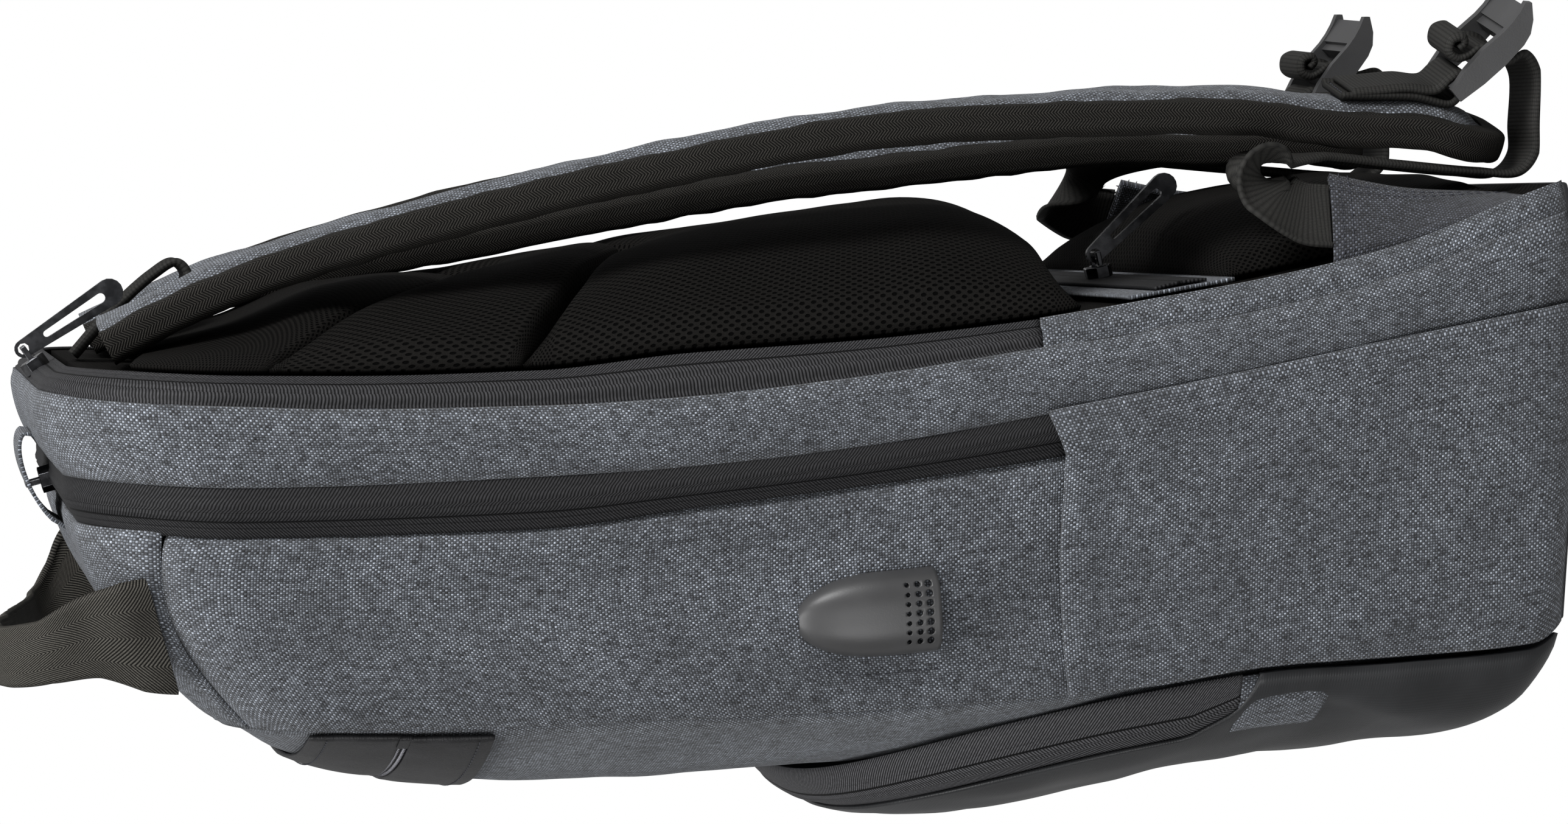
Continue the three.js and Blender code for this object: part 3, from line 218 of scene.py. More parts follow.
# The floor glows as white as the surround, and other pieces neither mirror it nor are lit by it.
FLOOR = 6.0
floor_mesh = bpy.data.meshes.new("floor")
corners = [(-FLOOR, -FLOOR, 0), (FLOOR, -FLOOR, 0), (FLOOR, FLOOR, 0), (-FLOOR, FLOOR, 0)]
floor_mesh.from_pydata(corners, [], [(0, 1, 2, 3)])
floor = put("floor", floor_mesh)
floor.visible_diffuse = False
floor.visible_glossy = False
pale_floor = Finish("white floor", Roughness=1.0)
pale_floor.feed("Base Color", (0, 0, 0, 1))
pale_floor.feed("Specular IOR Level", 0.0)
pale_floor.feed("Emission Color", (1, 1, 1, 1))
pale_floor.feed("Emission Strength", 1.0)
floor.data.materials.append(pale_floor.material)

# Two-tone heathered cloth: a plain weave of dark warp and lighter blue-grey weft, each thread its own
# shade and each shade wandering along the thread. It covers the sides, the front, the bands and the
# straps' faces.
WARP_PITCH = 0.88 * MM
WEFT_PITCH = 0.77 * MM


def heathered_cloth(name, light=(0.475, 0.52, 0.595), dark=(0.005, 0.005, 0.006)):
    cloth = Finish(name, Roughness=0.9)
    cloth.feed("Sheen Weight", 0.12)
    cloth.feed("Sheen Roughness", 0.6)
    cloth.feed("Specular IOR Level", 0.22)
    _, along, across = cloth.along_cloth()
    sway = cloth.noise(cloth.place(along, across), 45.0, 1.0) * (1.1 * MM)
    warp = along / WARP_PITCH + sway / WARP_PITCH
    weft = across / WEFT_PITCH + sway / WEFT_PITCH
    warp_thread = warp.floor()
    weft_thread = weft.floor()
    weft_over = (warp_thread + weft_thread) % 2.0
    knot_shade = cloth.dice(cloth.place(warp_thread, weft_thread))
    weft_shade = cloth.noise(cloth.place(along * 300.0, weft_thread * 7.31), 1.0, 2.0).rises(0.25, 0.75)
    warp_shade = cloth.noise(cloth.place(warp_thread * 5.17, across * 300.0), 1.0, 2.0).rises(0.3, 0.8)
    crown = warp.ribs() * weft.ribs()
    patches = cloth.noise(cloth.place(along, across), 38.0, 4.0).rises(0.2, 0.8)
    slubs = cloth.noise(cloth.place(along * 210.0, across * 420.0), 1.0, 3.0).rises(0.34, 0.66)
    over = 0.1 + weft_shade * 0.55 + knot_shade * 0.25 + slubs * 0.25
    below = 0.02 + warp_shade * 0.26 + knot_shade * 0.14 + slubs * 0.1
    lightness = over * weft_over + below * (1.0 - weft_over)
    share = (lightness * (0.8 + patches * 0.35)) ** 1.35 * (0.12 + crown * 0.9)
    cloth.shades(share.least(1.0), dark, light)
    cloth.feed("Roughness", 0.92 - share * 0.12)
    cloth.bump(crown + weft_shade * 0.2, 0.3 * MM, 1.0)
    return cloth.material


heathered = heathered_cloth("heathered cloth")

# The body's form: five seams run round the bag, from the back seam to the front one. Their places are
# shares of the height and the depth, and a panel is a grid of points between two of them.
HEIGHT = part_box("laptop_band")[1].z
HALF_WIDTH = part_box("main_zip")[1].x
DEPTH = 150 * MM
SEAM_HEIGHTS = [0.0, 0.03, 0.12, 0.2, 0.29, 0.37, 0.48, 0.6, 0.69, 0.82, 0.88, 0.96, 1.0]
SEAMS = [
    [0.52, 0.485, 0.37, 0.305, 0.25, 0.207, 0.165, 0.135, 0.1, 0.087, 0.087, 0.093, 0.095],
    [0.46, 0.425, 0.31, 0.245, 0.19, 0.147, 0.09, 0.045, 0.027, 0.02, 0.025, 0.035, 0.053],
    [0.26, 0.24, 0.18, 0.125, 0.065, 0.015, -0.045, -0.09, -0.108, -0.127, -0.13, -0.12, -0.113],
    [0.16, 0.14, 0.087, 0.033, -0.03, -0.075, -0.127, -0.175, -0.213, -0.227, -0.23, -0.22, -0.213],
    [-0.42, -0.475, -0.5, -0.515, -0.555, -0.585, -0.605, -0.615, -0.625, -0.627, -0.627, -0.627, -0.627],
]
BACK, LAPTOP, MAIN_BACK, MAIN_FRONT, FRONT = range(5)
SEAM_WIDTHS = np.array([0.945, 0.98, 1.0, 1.0, 0.965]) * HALF_WIDTH
SEAM_TOPS = np.array([0.982, 1.0, 0.984, 0.975, 0.885]) * HEIGHT
SEAM_CORNERS = np.array([52, 52, 50, 48, 34]) * MM
SIDE_SWELL = 3 * MM
TOP_SWELL = 8 * MM
BASE_ROUND = 16 * MM
FLOOR_LINE = 3 * MM
# A seam climbs straight up a side to the first share, and has turned its upper corner at the second.
CORNER_FROM = 0.8
CORNER_TO = 0.92


def curve_through(places, values):
    """A smooth curve through the values, with no overshoot between them."""
    x = np.array(places, float)
    y = np.array(values, float)
    steps = np.diff(y) / np.diff(x)
    slopes = np.zeros(len(x))
    same_way = steps[1:] * steps[:-1] > 0
    slopes[1:-1] = np.where(same_way, 2 * steps[1:] * steps[:-1] / (steps[1:] + steps[:-1] + 1e-12), 0)
    slopes[0], slopes[-1] = steps[0], steps[-1]

    def value(at):
        at = np.clip(at, x[0], x[-1])
        i = np.clip(np.searchsorted(x, at) - 1, 0, len(x) - 2)
        width = x[i + 1] - x[i]
        f = (at - x[i]) / width
        low = y[i] * (1 + 2 * f) * (1 - f) ** 2 + slopes[i] * width * f * (1 - f) ** 2
        high = y[i + 1] * f**2 * (3 - 2 * f) + slopes[i + 1] * width * f**2 * (f - 1)
        return low + high

    return value


seam_curves = [curve_through(SEAM_HEIGHTS, seam) for seam in SEAMS]


def between_seams(values, s):
    """Values given at the seams, read at places between them."""
    i = np.clip(np.floor(s).astype(int), 0, FRONT - 1)
    f = s - i
    values = np.array(values)
    return values[i] * (1 - f) + values[i + 1] * f


def seam_y(s, z):
    """Depth of the skin by its place across the seams and its height."""
    rows = np.array([curve(z / HEIGHT) for curve in seam_curves]) * DEPTH
    i = np.clip(np.floor(s).astype(int), 0, FRONT - 1)
    f = s - i
    pick = np.take_along_axis
    return pick(rows, i[None], 0)[0] * (1 - f) + pick(rows, i[None] + 1, 0)[0] * f


def base_inset(z):
    """How far the round at the base draws the skin in."""
    below = np.clip(BASE_ROUND - z, 0, BASE_ROUND)
    return BASE_ROUND - np.sqrt(BASE_ROUND**2 - below**2)


def skin(s, t, out=0.0):
    """Points of the bag's skin. s counts the seams, t runs from 0 at the base on the hood's side to 2."""
    s, t, out = np.broadcast_arrays(np.asarray(s, float), np.asarray(t, float), np.asarray(out, float))
    swell = np.where(s > MAIN_FRONT, np.sin(np.pi * np.clip(s - MAIN_FRONT, 0, 1)), 0)
    width = between_seams(SEAM_WIDTHS, s) + SIDE_SWELL * swell + out
    top = between_seams(SEAM_TOPS, s) + TOP_SWELL * swell + out
    corner = between_seams(SEAM_CORNERS, s) + out
    side = np.where(t <= 1, 1.0, -1.0)
    h = np.where(t <= 1, t, 2 - t)
    angle = np.clip((h - CORNER_FROM) / (CORNER_TO - CORNER_FROM), 0, 1) * np.pi / 2
    rise = FLOOR_LINE + (top - corner - FLOOR_LINE) * h / CORNER_FROM
    z = np.where(h < CORNER_FROM, rise, top - corner + corner * np.sin(angle))
    z = np.where(h >= CORNER_TO, top, z)
    x = np.where(h < CORNER_FROM, width - base_inset(z), width - corner + corner * np.cos(angle))
    x = np.where(h >= CORNER_TO, (width - corner) * (1 - h) / (1 - CORNER_TO), x)
    return np.stack([side * x, seam_y(s, z), z], -1)


def place_at(s, z):
    """Where on the hood's side the skin reaches a height."""
    top = between_seams(SEAM_TOPS, np.asarray(s, float))
    corner = between_seams(SEAM_CORNERS, np.asarray(s, float))
    low = CORNER_FROM * (z - FLOOR_LINE) / (top - corner - FLOOR_LINE)
    angle = np.arcsin(np.clip((z - top + corner) / corner, 0, 1))
    turned = CORNER_FROM + (CORNER_TO - CORNER_FROM) * angle / (np.pi / 2)
    return np.where(z <= top - corner, low, turned)


def run_of(line):
    """Lengths from a line's start to each of its points."""
    return np.concatenate([[0], np.cumsum(np.linalg.norm(np.diff(line, axis=0), axis=-1))])


def lattice(rows, cols):
    """The row values and the column values at each point of a grid."""
    return np.meshgrid(rows, cols, indexing="ij")


def cloth_piece(name, grid, wall, finish, map_by=None):
    """A grid of points as a sheet with a wall behind it and a map in metres along its two ways."""
    rows, cols = grid.shape[:2]
    if map_by is None:
        map_by = np.stack(lattice(run_of(grid[:, cols // 2]), run_of(grid[rows // 2])), -1)
    mesh = bpy.data.meshes.new(name)
    index = np.arange(rows * cols).reshape(rows, cols)
    quads = np.stack([index[:-1, :-1], index[1:, :-1], index[1:, 1:], index[:-1, 1:]], -1).reshape(-1, 4)
    mesh.from_pydata(grid.reshape(-1, 3).tolist(), [], quads.tolist())
    layer = mesh.uv_layers.new(name="cloth")
    layer.data.foreach_set("uv", map_by.reshape(-1, 2)[quads.reshape(-1)].astype(np.float32).reshape(-1))
    mesh.polygons.foreach_set("use_smooth", [True] * len(mesh.polygons))
    piece = put(name, mesh)
    piece.data.materials.append(finish)
    solidify = piece.modifiers.new("wall", "SOLIDIFY")
    solidify.thickness = abs(wall)
    solidify.offset = -1.0 if wall > 0 else 1.0
    solidify.use_even_offset = True
    return piece


def fits(piece, node, body="bag"):
    """The piece stands for a CAD node, which it hides, and moves with a body."""
    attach(piece, body)
    if node:
        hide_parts(*([node] if isinstance(node, str) else node))
    return piece


def lumps(grid, size, height, seed):
    """Soft unevenness of sewn cloth, the same each run."""
    flat = grid.reshape(-1, 3)
    shift = Vector((seed * 3.7, seed * 1.3, seed * 2.1))
    values = [noise.noise(Vector(p) / size + shift) for p in flat]
    return np.array(values).reshape(grid.shape[:2]) * height


def rolled_edge(rows, cols, row_steps, col_steps, depth, reach):
    """How far a panel is drawn in near its sewn edges. Steps are the grid's cell sizes."""
    i = np.arange(rows)
    j = np.arange(cols)
    from_rows = np.minimum(i, rows - 1 - i) * row_steps
    from_cols = np.minimum(j, cols - 1 - j) * col_steps
    edge = np.minimum(from_rows[:, None], from_cols[None])
    return -depth * np.exp(-((edge / reach) ** 2))


SEAM_REACH = 3.2 * MM


def strip_piece(name, node, slot, finish, s_range, t_from, t_to, counts, wall=1.6 * MM, out=None,
                seam=1.6 * MM, reach=SEAM_REACH):
    """A panel between two places across the seams and two along them."""
    rows, cols = counts
    v = np.linspace(0, 1, cols)
    u = np.linspace(0, 1, rows)
    s = s_range[0] + (s_range[1] - s_range[0]) * v
    low, high = t_from(s), t_to(s)
    t = low[None] + (high - low)[None] * u[:, None]
    s = np.broadcast_to(s[None], t.shape)
    base = skin(s, t)
    length = run_of(base[:, cols // 2])[-1]
    width = run_of(base[rows // 2])[-1]
    inward = rolled_edge(rows, cols, length / (rows - 1), width / (cols - 1), seam, reach)
    offset = inward + (out(base, s, t) if out is not None else 0)
    piece = cloth_piece(name, skin(s, t, offset), wall, finish)
    return fits(piece, node)


# Laptop band: a strip of the heathered cloth over thin foam, sewn between the two zips over the top and
# down both sides. Below the laptop zip's end it widens to the back seam.
ZIP_END = 178 * MM
WHOLE = (lambda s: s * 0, lambda s: s * 0 + 2)
SIDES = ((1, "hood_side"), (-1, "far_side"))


def band_puff(base, s, t):
    across = np.clip((s - LAPTOP) / (MAIN_BACK - LAPTOP), 0, 1)
    return 1.6 * MM * np.sin(np.pi * across) + lumps(base, 24 * MM, 0.5 * MM, 3)


strip_piece("laptop_band_cloth", "laptop_band", "heathered", heathered,
            (MAIN_BACK - 0.005, LAPTOP + 0.003), *WHOLE, (320, 15), out=band_puff)


def foot_puff(base, s, t):
    return lumps(base, 24 * MM, 0.4 * MM, 4)


for side, name in SIDES:
    t_low = (lambda s: s * 0) if side > 0 else (lambda s: 2 - place_at(s, ZIP_END))
    t_high = (lambda s: place_at(s, ZIP_END)) if side > 0 else (lambda s: s * 0 + 2)
    strip_piece("laptop_band_foot_" + name, None, "heathered", heathered,
                (LAPTOP + 0.005, BACK), t_low, t_high, (90, 9), out=foot_puff)

# Zips: black twill tape with a reversed coil, so only a fine joint shows between two ribbed halves. One
# runs round the back edge to the laptop, one round the bag to the main compartment.
TAPE_TWILL = 1.1 * MM


def zip_tape(name, middle, light=0.034):
    tape = Finish(name, Roughness=0.62)
    tape.feed("Specular IOR Level", 0.12)
    _, along, across = tape.along_cloth()
    from_middle = (across - middle).abs()
    rib = ((along + from_middle * 0.8) / TAPE_TWILL).ribs()
    speck = tape.noise(tape.place(along * 900.0, across * 900.0), 1.0, 1.0)
    joint = 1.0 - from_middle.rises(0.15 * MM, 0.5 * MM)
    coil_edge = 1.0 - (from_middle - 2.6 * MM).abs().rises(0.1 * MM, 0.6 * MM)
    shade = (rib**2.0) * (0.35 + speck * 0.9) * (1.0 - joint)
    tape.shades(shade, (0.001, 0.001, 0.0012), (light, light, light * 1.06))
    tape.feed("Roughness", 0.7 - rib * 0.15)
    tape.bump(rib * 0.5 - joint * 2.0 - coil_edge * 0.8, 0.3 * MM, 0.8)
    return tape.material


def zip_puff(base, s, t):
    """A zip's profile: the coil stands up under the tape, and a joint runs down its middle."""
    width = np.linalg.norm(base[len(base) // 2, -1] - base[len(base) // 2, 0])
    across = (s - s.min()) / (s.max() - s.min())
    from_middle = np.abs(across - 0.5) * width
    coil = np.exp(-((from_middle / (2.6 * MM)) ** 4)) * 1.0 * MM
    joint = np.exp(-((from_middle / (0.5 * MM)) ** 2)) * 0.5 * MM
    return coil - joint - 0.3 * MM


def width_of(s_range):
    """Distance between two places across the seams, half way up the side."""
    ends = skin(np.array(s_range, float), np.array([0.5, 0.5]))
    return float(np.linalg.norm(ends[1] - ends[0]))


def round_zip(name, node, tape, s_range, low):
    """A zip from a height on the hood's side, over the top, to the same height on the far side."""
    strip_piece(name, node, "zip_tape", tape, s_range, lambda s: place_at(s, low),
                lambda s: 2 - place_at(s, low), (360, 21), wall=1.0 * MM, out=zip_puff, seam=1.2 * MM)


laptop_width = width_of((LAPTOP, BACK))
main_width = width_of((MAIN_FRONT, MAIN_BACK))
laptop_tape = zip_tape("laptop zip tape", laptop_width * 0.5, 0.06)
main_tape = zip_tape("main zip tape", main_width * 0.5)
round_zip("laptop_zip_tape", "laptop_zip", laptop_tape, (LAPTOP + 0.02, BACK), ZIP_END + 0.4 * MM)
round_zip("main_zip_tape", "main_zip", main_tape, (MAIN_FRONT + 0.01, MAIN_BACK - 0.02), ZIP_END - 10 * MM)

# Side panels: heathered cloth over foam, from the main zip to the front seam. The upper end runs aslant
# over the chamfer, and soft folds run down to the front seam.
CHAMFER_AT_ZIP = 452 * MM
CHAMFER_AT_FRONT = 425 * MM


def side_top(s):
    """Where a side panel ends at the chamfer."""
    rear = place_at(MAIN_FRONT, CHAMFER_AT_ZIP)
    fore = place_at(FRONT, CHAMFER_AT_FRONT)
    return rear + (fore - rear) * np.clip(s - MAIN_FRONT, 0, 1)


def crease(base, start, end, reach, height):
    """A long soft fold between two places given as Y and Z in millimetres."""
    a = np.array(start) * MM
    b = np.array(end) * MM
    p = base[..., 1:]
    share = np.clip(((p - a) @ (b - a)) / ((b - a) @ (b - a)), 0, 1)
    apart = np.linalg.norm(p - (a + share[..., None] * (b - a)), axis=-1)
    return height * MM * np.exp(-((apart / (reach * MM)) ** 2)) * np.sin(np.pi * (0.12 + 0.76 * share))


SIDE_FOLDS = [
    ((-88, 300), (-30, 200), 12, 1.0),
    ((-80, 250), (-86, 185), 9, -1.3),
    ((-40, 440), (-60, 300), 14, 0.9),
    ((-70, 420), (-40, 250), 16, -0.8),
]
POCKET_FOLDS = [
    ((-10, 165), (-60, 60), 13, 1.6),
    ((15, 120), (-30, 30), 11, -1.4),
    ((-82, 150), (-55, 30), 9, 1.5),
    ((20, 60), (-10, 15), 9, 1.2),
    ((-75, 120), (-72, 40), 6, -1.2),
    ((-5, 100), (-45, 100), 12, 1.0),
]


def side_puff(base, s, t):
    folds = sum(crease(base, *fold) for fold in SIDE_FOLDS)
    tucked = 1.7 * MM * np.exp(-(((s - MAIN_FRONT) / 0.06) ** 2))
    return folds - tucked + lumps(base, 40 * MM, 1.3 * MM, 7) + lumps(base, 14 * MM, 0.35 * MM, 8)


SIDE_POCKET_TOP = 178 * MM
SIDE_POCKET_DROP = 9 * MM
POCKET_SLACK = 6 * MM


def pocket_mouth(s):
    """Where a slip pocket's mouth runs, sloping down to the front."""
    share = np.clip((s - MAIN_BACK) / (FRONT - MAIN_BACK), 0, 1)
    return place_at(s, SIDE_POCKET_TOP - SIDE_POCKET_DROP * share)


def pocket_slack(base, s, t):
    """How far a slip pocket stands off: more at its open mouth, with folds and a hem."""
    height = np.clip(np.where(t > 1, 2 - t, t) / pocket_mouth(s), 0, 1)
    between = np.sin(np.pi * np.clip((s - MAIN_BACK) / (FRONT - MAIN_BACK), 0, 1))
    folds = sum(crease(base, *fold) for fold in POCKET_FOLDS)
    hem = 0.7 * MM * np.clip((height - 0.93) / 0.015, 0, 1)
    soft = lumps(base, 34 * MM, 1.2 * MM, 11) + lumps(base, 12 * MM, 0.4 * MM, 12)
    return 2.3 * MM + POCKET_SLACK * height**2 * between * 0.8 + folds + soft + hem


for side, name in SIDES:
    def spanned(low, high, side=side):
        return (low, high) if side > 0 else (lambda s: 2 - high(s), lambda s: 2 - low(s))

    strip_piece("side_panel_cloth_" + name, "side_panel_" + name, "heathered", heathered,
                (FRONT - 0.004, MAIN_FRONT + 0.003),
                *spanned(lambda s: s * 0, lambda s: side_top(s) - 0.001), (160, 64), out=side_puff,
                seam=2.4 * MM, reach=4.6 * MM)
    strip_piece("side_pocket_cloth_" + name, "side_pocket_" + name, "heathered", heathered,
                (FRONT, MAIN_BACK + 0.01), *spanned(lambda s: s * 0, pocket_mouth), (100, 66),
                out=pocket_slack, wall=1.4 * MM, seam=1.4 * MM)

# Front panel: one large piece of the heathered cloth, domed by what is in the bag. It runs up into a
# sloping top that meets the main zip, with side seams drawn tight.
FRONT_SWELL = 31 * MM
FRONT_HEIGHTS = [0.0, 0.1, 0.2, 0.31, 0.42, 0.52, 0.62, 0.7, 0.79, 0.84, 0.872]
FRONT_SWELLS = [0.42, 0.45, 0.58, 0.72, 0.9, 0.98, 1.0, 0.96, 0.8, 0.56, 0.2]
front_swell = curve_through(FRONT_HEIGHTS, FRONT_SWELLS)


def front_y(x, z):
    """Depth of the domed front."""
    across = np.clip(np.abs(x) / SEAM_WIDTHS[FRONT], 0, 1)
    swell = FRONT_SWELL * front_swell(z / HEIGHT)
    return seam_y(np.full(np.shape(z), float(FRONT)), z) - swell * (1 - across**2.6)


def half_width(s, z, out=0.0):
    """Half the bag's width on a seam, by height."""
    width, top, corner = SEAM_WIDTHS[s] + out, SEAM_TOPS[s] + out, SEAM_CORNERS[s] + out
    above = np.clip(z - (top - corner), 0, corner)
    return width - base_inset(z) - corner + np.sqrt(np.maximum(corner**2 - above**2, 0))


FRONT_FOLDS = [
    ((-118, 330), (-108, 250), 16, 0.8),
    ((-100, 300), (-105, 240), 10, -0.8),
]


def front_sheet(name, low, high, counts, half, rise, wall, finish, seam=0.0, soft=0.0, seed=1, folds=()):
    """A sheet that lies on the front between two heights, standing off it by rise."""
    rows, cols = counts
    z, u = lattice(np.linspace(low, high, rows), np.linspace(1, -1, cols))
    x = u * half(z)
    grid = np.stack([x, front_y(x, z), z], -1)
    row_step, col_step = (high - low) / (rows - 1), 2 * half(low) / (cols - 1)
    lift = rise + rolled_edge(rows, cols, row_step, col_step, seam, SEAM_REACH)
    lift = lift + lumps(grid, 38 * MM, soft, seed) + lumps(grid, 13 * MM, soft * 0.3, seed + 1)
    lift = lift + sum((crease(grid, *fold) for fold in folds), 0 * lift)
    grid[..., 1] -= lift
    return cloth_piece(name, grid, wall, finish)


front = front_sheet("front_panel_cloth", FLOOR_LINE, SEAM_TOPS[FRONT] - 0.6 * MM, (160, 100),
                    lambda z: half_width(FRONT, z, -2.0 * MM), 0.0, 1.6 * MM, heathered, 1.4 * MM,
                    1.0 * MM, 21, FRONT_FOLDS)
fits(front, "front_panel")


def top_puff(base, s, t):
    return lumps(base, 30 * MM, 1.0 * MM, 23)


strip_piece("sloping_top_cloth", None, "heathered", heathered, (FRONT - 0.004, MAIN_FRONT + 0.003),
            lambda s: side_top(s) + 0.001, lambda s: 2 - side_top(s) - 0.001, (180, 38), out=top_puff)

# Leather surround: black grained leather sewn over the front near its top, with a raw-edged slit. The
# hidden zip shows in the slit, and its metal teeth glint.
PATCH = (0.7172 * HEIGHT, 0.834 * HEIGHT)
SLIT_MIDDLE = PATCH[0] + 0.48 * (PATCH[1] - PATCH[0])
SLIT_HEIGHT = 15 * MM
SLIT_OPEN = 3.2 * MM


def patch_half(z):
    return half_width(FRONT, z, -3.4 * MM)


def grained_leather(name):
    hide = Finish(name, Roughness=0.42)
    hide.feed("Specular IOR Level", 0.24)
    place, _, _ = hide.along_cloth()
    settings = {"feature": "DISTANCE_TO_EDGE"}
    cells = hide.node("ShaderNodeTexVoronoi", settings, {"Vector": place, "Scale": 900.0})
    grain = cells.rises(0.0, 0.12)
    scuffs = hide.noise(place, 90.0, 4.0)
    hide.shades(scuffs.rises(0.35, 0.8), (0.009, 0.009, 0.010), (0.025, 0.025, 0.027))
    hide.feed("Roughness", 0.36 + scuffs * 0.22)
    hide.bump(grain + scuffs * 0.6, 0.12 * MM, 0.7)
    return hide.material


leather = grained_leather("black leather")
LIFT = 2.3 * MM
lower_leather = front_sheet("leather_lower", PATCH[0], SLIT_MIDDLE - SLIT_OPEN / 2, (20, 96), patch_half,
                            LIFT + 0.5 * MM, 1.4 * MM, leather, 0.3 * MM, 0.5 * MM, 25)
fits(lower_leather, "leather_surround")
upper_leather = front_sheet("leather_upper", SLIT_MIDDLE + SLIT_OPEN / 2, PATCH[1], (20, 96), patch_half,
                            LIFT, 1.4 * MM, leather, 0.3 * MM, 0.4 * MM, 27)
fits(upper_leather, None)
for side, name in SIDES:
    z, inward = lattice(SLIT_MIDDLE + SLIT_OPEN * 0.6 * np.linspace(-1, 1, 10), np.linspace(0, 9 * MM, 8))
    x = side * (patch_half(z) - inward)
    end = np.stack([x, front_y(x, z) - LIFT, z], -1)
    if side < 0:
        end = end[:, ::-1]
    fits(cloth_piece("leather_end_" + name, end, 1.4 * MM, leather), None)
slit_tape = zip_tape("front zip tape", SLIT_HEIGHT * 0.5)


def slit_half(z):
    return patch_half(SLIT_MIDDLE + 0 * z) - 8.8 * MM


def turn_map(piece):
    """Makes a sheet's map run along its other way."""
    layer = piece.data.uv_layers["cloth"].data
    flat = np.zeros(len(layer) * 2, np.float32)
    layer.foreach_get("uv", flat)
    layer.foreach_set("uv", flat.reshape(-1, 2)[:, ::-1].reshape(-1))


tape_reach = SLIT_HEIGHT / 2 - 0.2 * MM
slit_zip = front_sheet("front_zip_tape", SLIT_MIDDLE - tape_reach, SLIT_MIDDLE + tape_reach, (14, 160),
                       slit_half, 1.3 * MM, 0.8 * MM, slit_tape)
turn_map(slit_zip)
fits(slit_zip, "front_zip")

# Small pieces that repeat along a line, such as stitches, zip teeth and coil ribs: one Geometry Nodes
# tree places them at an even pitch, turned along the line.


def along_line_tree():
    tree = bpy.data.node_groups.new("small pieces along a line", "GeometryNodeTree")
    inputs = [("Line", "NodeSocketGeometry"), ("Pitch", "NodeSocketFloat"), ("Size", "NodeSocketVector"),
              ("Finish", "NodeSocketMaterial")]
    for label, kind in inputs:
        tree.interface.new_socket(label, in_out="INPUT", socket_type=kind)
    tree.interface.new_socket("Pieces", in_out="OUTPUT", socket_type="NodeSocketGeometry")
    given = tree.nodes.new("NodeGroupInput")
    result = tree.nodes.new("NodeGroupOutput")
    curve = tree.nodes.new("GeometryNodeMeshToCurve")
    even = tree.nodes.new("GeometryNodeResampleCurve")
    even.mode = "LENGTH"
    ball = tree.nodes.new("GeometryNodeMeshIcoSphere")
    ball.inputs["Radius"].default_value = 0.5
    ball.inputs["Subdivisions"].default_value = 1
    shaped = tree.nodes.new("GeometryNodeTransform")
    tangent = tree.nodes.new("GeometryNodeInputTangent")
    turn = tree.nodes.new("FunctionNodeAlignRotationToVector")
    turn.axis = "X"
    place = tree.nodes.new("GeometryNodeInstanceOnPoints")
    real = tree.nodes.new("GeometryNodeRealizeInstances")
    paint = tree.nodes.new("GeometryNodeSetMaterial")
    link = tree.links.new
    link(given.outputs["Line"], curve.inputs["Mesh"])
    link(curve.outputs["Curve"], even.inputs["Curve"])
    link(given.outputs["Pitch"], even.inputs["Length"])
    link(ball.outputs["Mesh"], shaped.inputs["Geometry"])
    link(given.outputs["Size"], shaped.inputs["Scale"])
    link(tangent.outputs["Tangent"], turn.inputs["Vector"])
    link(even.outputs["Curve"], place.inputs["Points"])
    link(shaped.outputs["Geometry"], place.inputs["Instance"])
    link(turn.outputs["Rotation"], place.inputs["Rotation"])
    link(place.outputs["Instances"], real.inputs["Geometry"])
    link(real.outputs["Geometry"], paint.inputs["Geometry"])
    link(given.outputs["Finish"], paint.inputs["Material"])
    link(paint.outputs["Geometry"], result.inputs["Pieces"])
    return tree


line_tree = along_line_tree()


def plain_mesh(name, carrier):
    """What a carrier's modifiers make, as a mesh of its own. The carrier goes."""
    ready = carrier.evaluated_get(bpy.context.evaluated_depsgraph_get())
    mesh = bpy.data.meshes.new_from_object(ready)
    bpy.data.objects.remove(carrier)
    mesh.name = name
    return put(name, mesh)


def pieces_along(name, lines, pitch, size, finish):
    """Small pieces of one size along lines, as one piece of the bag."""
    points = [p for line in lines for p in line]
    starts = np.cumsum([0] + [len(line) for line in lines])
    edges = [(a + k, a + k + 1) for a, line in zip(starts, lines) for k in range(len(line) - 1)]
    mesh = bpy.data.meshes.new(name)
    mesh.from_pydata([list(p) for p in points], edges, [])
    carrier = put(name, mesh)
    rows = carrier.modifiers.new("row", "NODES")
    rows.node_group = line_tree
    for item in line_tree.interface.items_tree:
        if item.in_out == "INPUT" and item.name != "Line":
            rows[item.identifier] = {"Pitch": pitch, "Size": size, "Finish": finish}[item.name]
    fits(plain_mesh(name, carrier), None)


def thread_finish(name, shade):
    thread = Finish(name, Roughness=0.6)
    place = thread.in_piece()
    ply = thread.noise(place, 2500.0, 1.0)
    thread.shades(ply, [c * 0.6 for c in shade], shade)
    thread.bump(ply, 0.1 * MM, 0.5)
    return thread.material


thread = thread_finish("dark thread", (0.030, 0.032, 0.042))
STITCH = (2.3 * MM, 0.55 * MM, 0.4 * MM)
STITCH_PITCH = 3.1 * MM


def stitch(name, lines):
    """Dark stitches along lines."""
    pieces_along(name, lines, STITCH_PITCH, STITCH, thread)


def skin_line(s, t, out):
    """A line on a dressed panel, a little above its cloth."""
    s = np.asarray(s, float)[:, None]
    t = np.asarray(t, float)[:, None]
    base = skin(s, t)
    return skin(s, t, out(base, s, t) + 0.15 * MM)[:, 0]


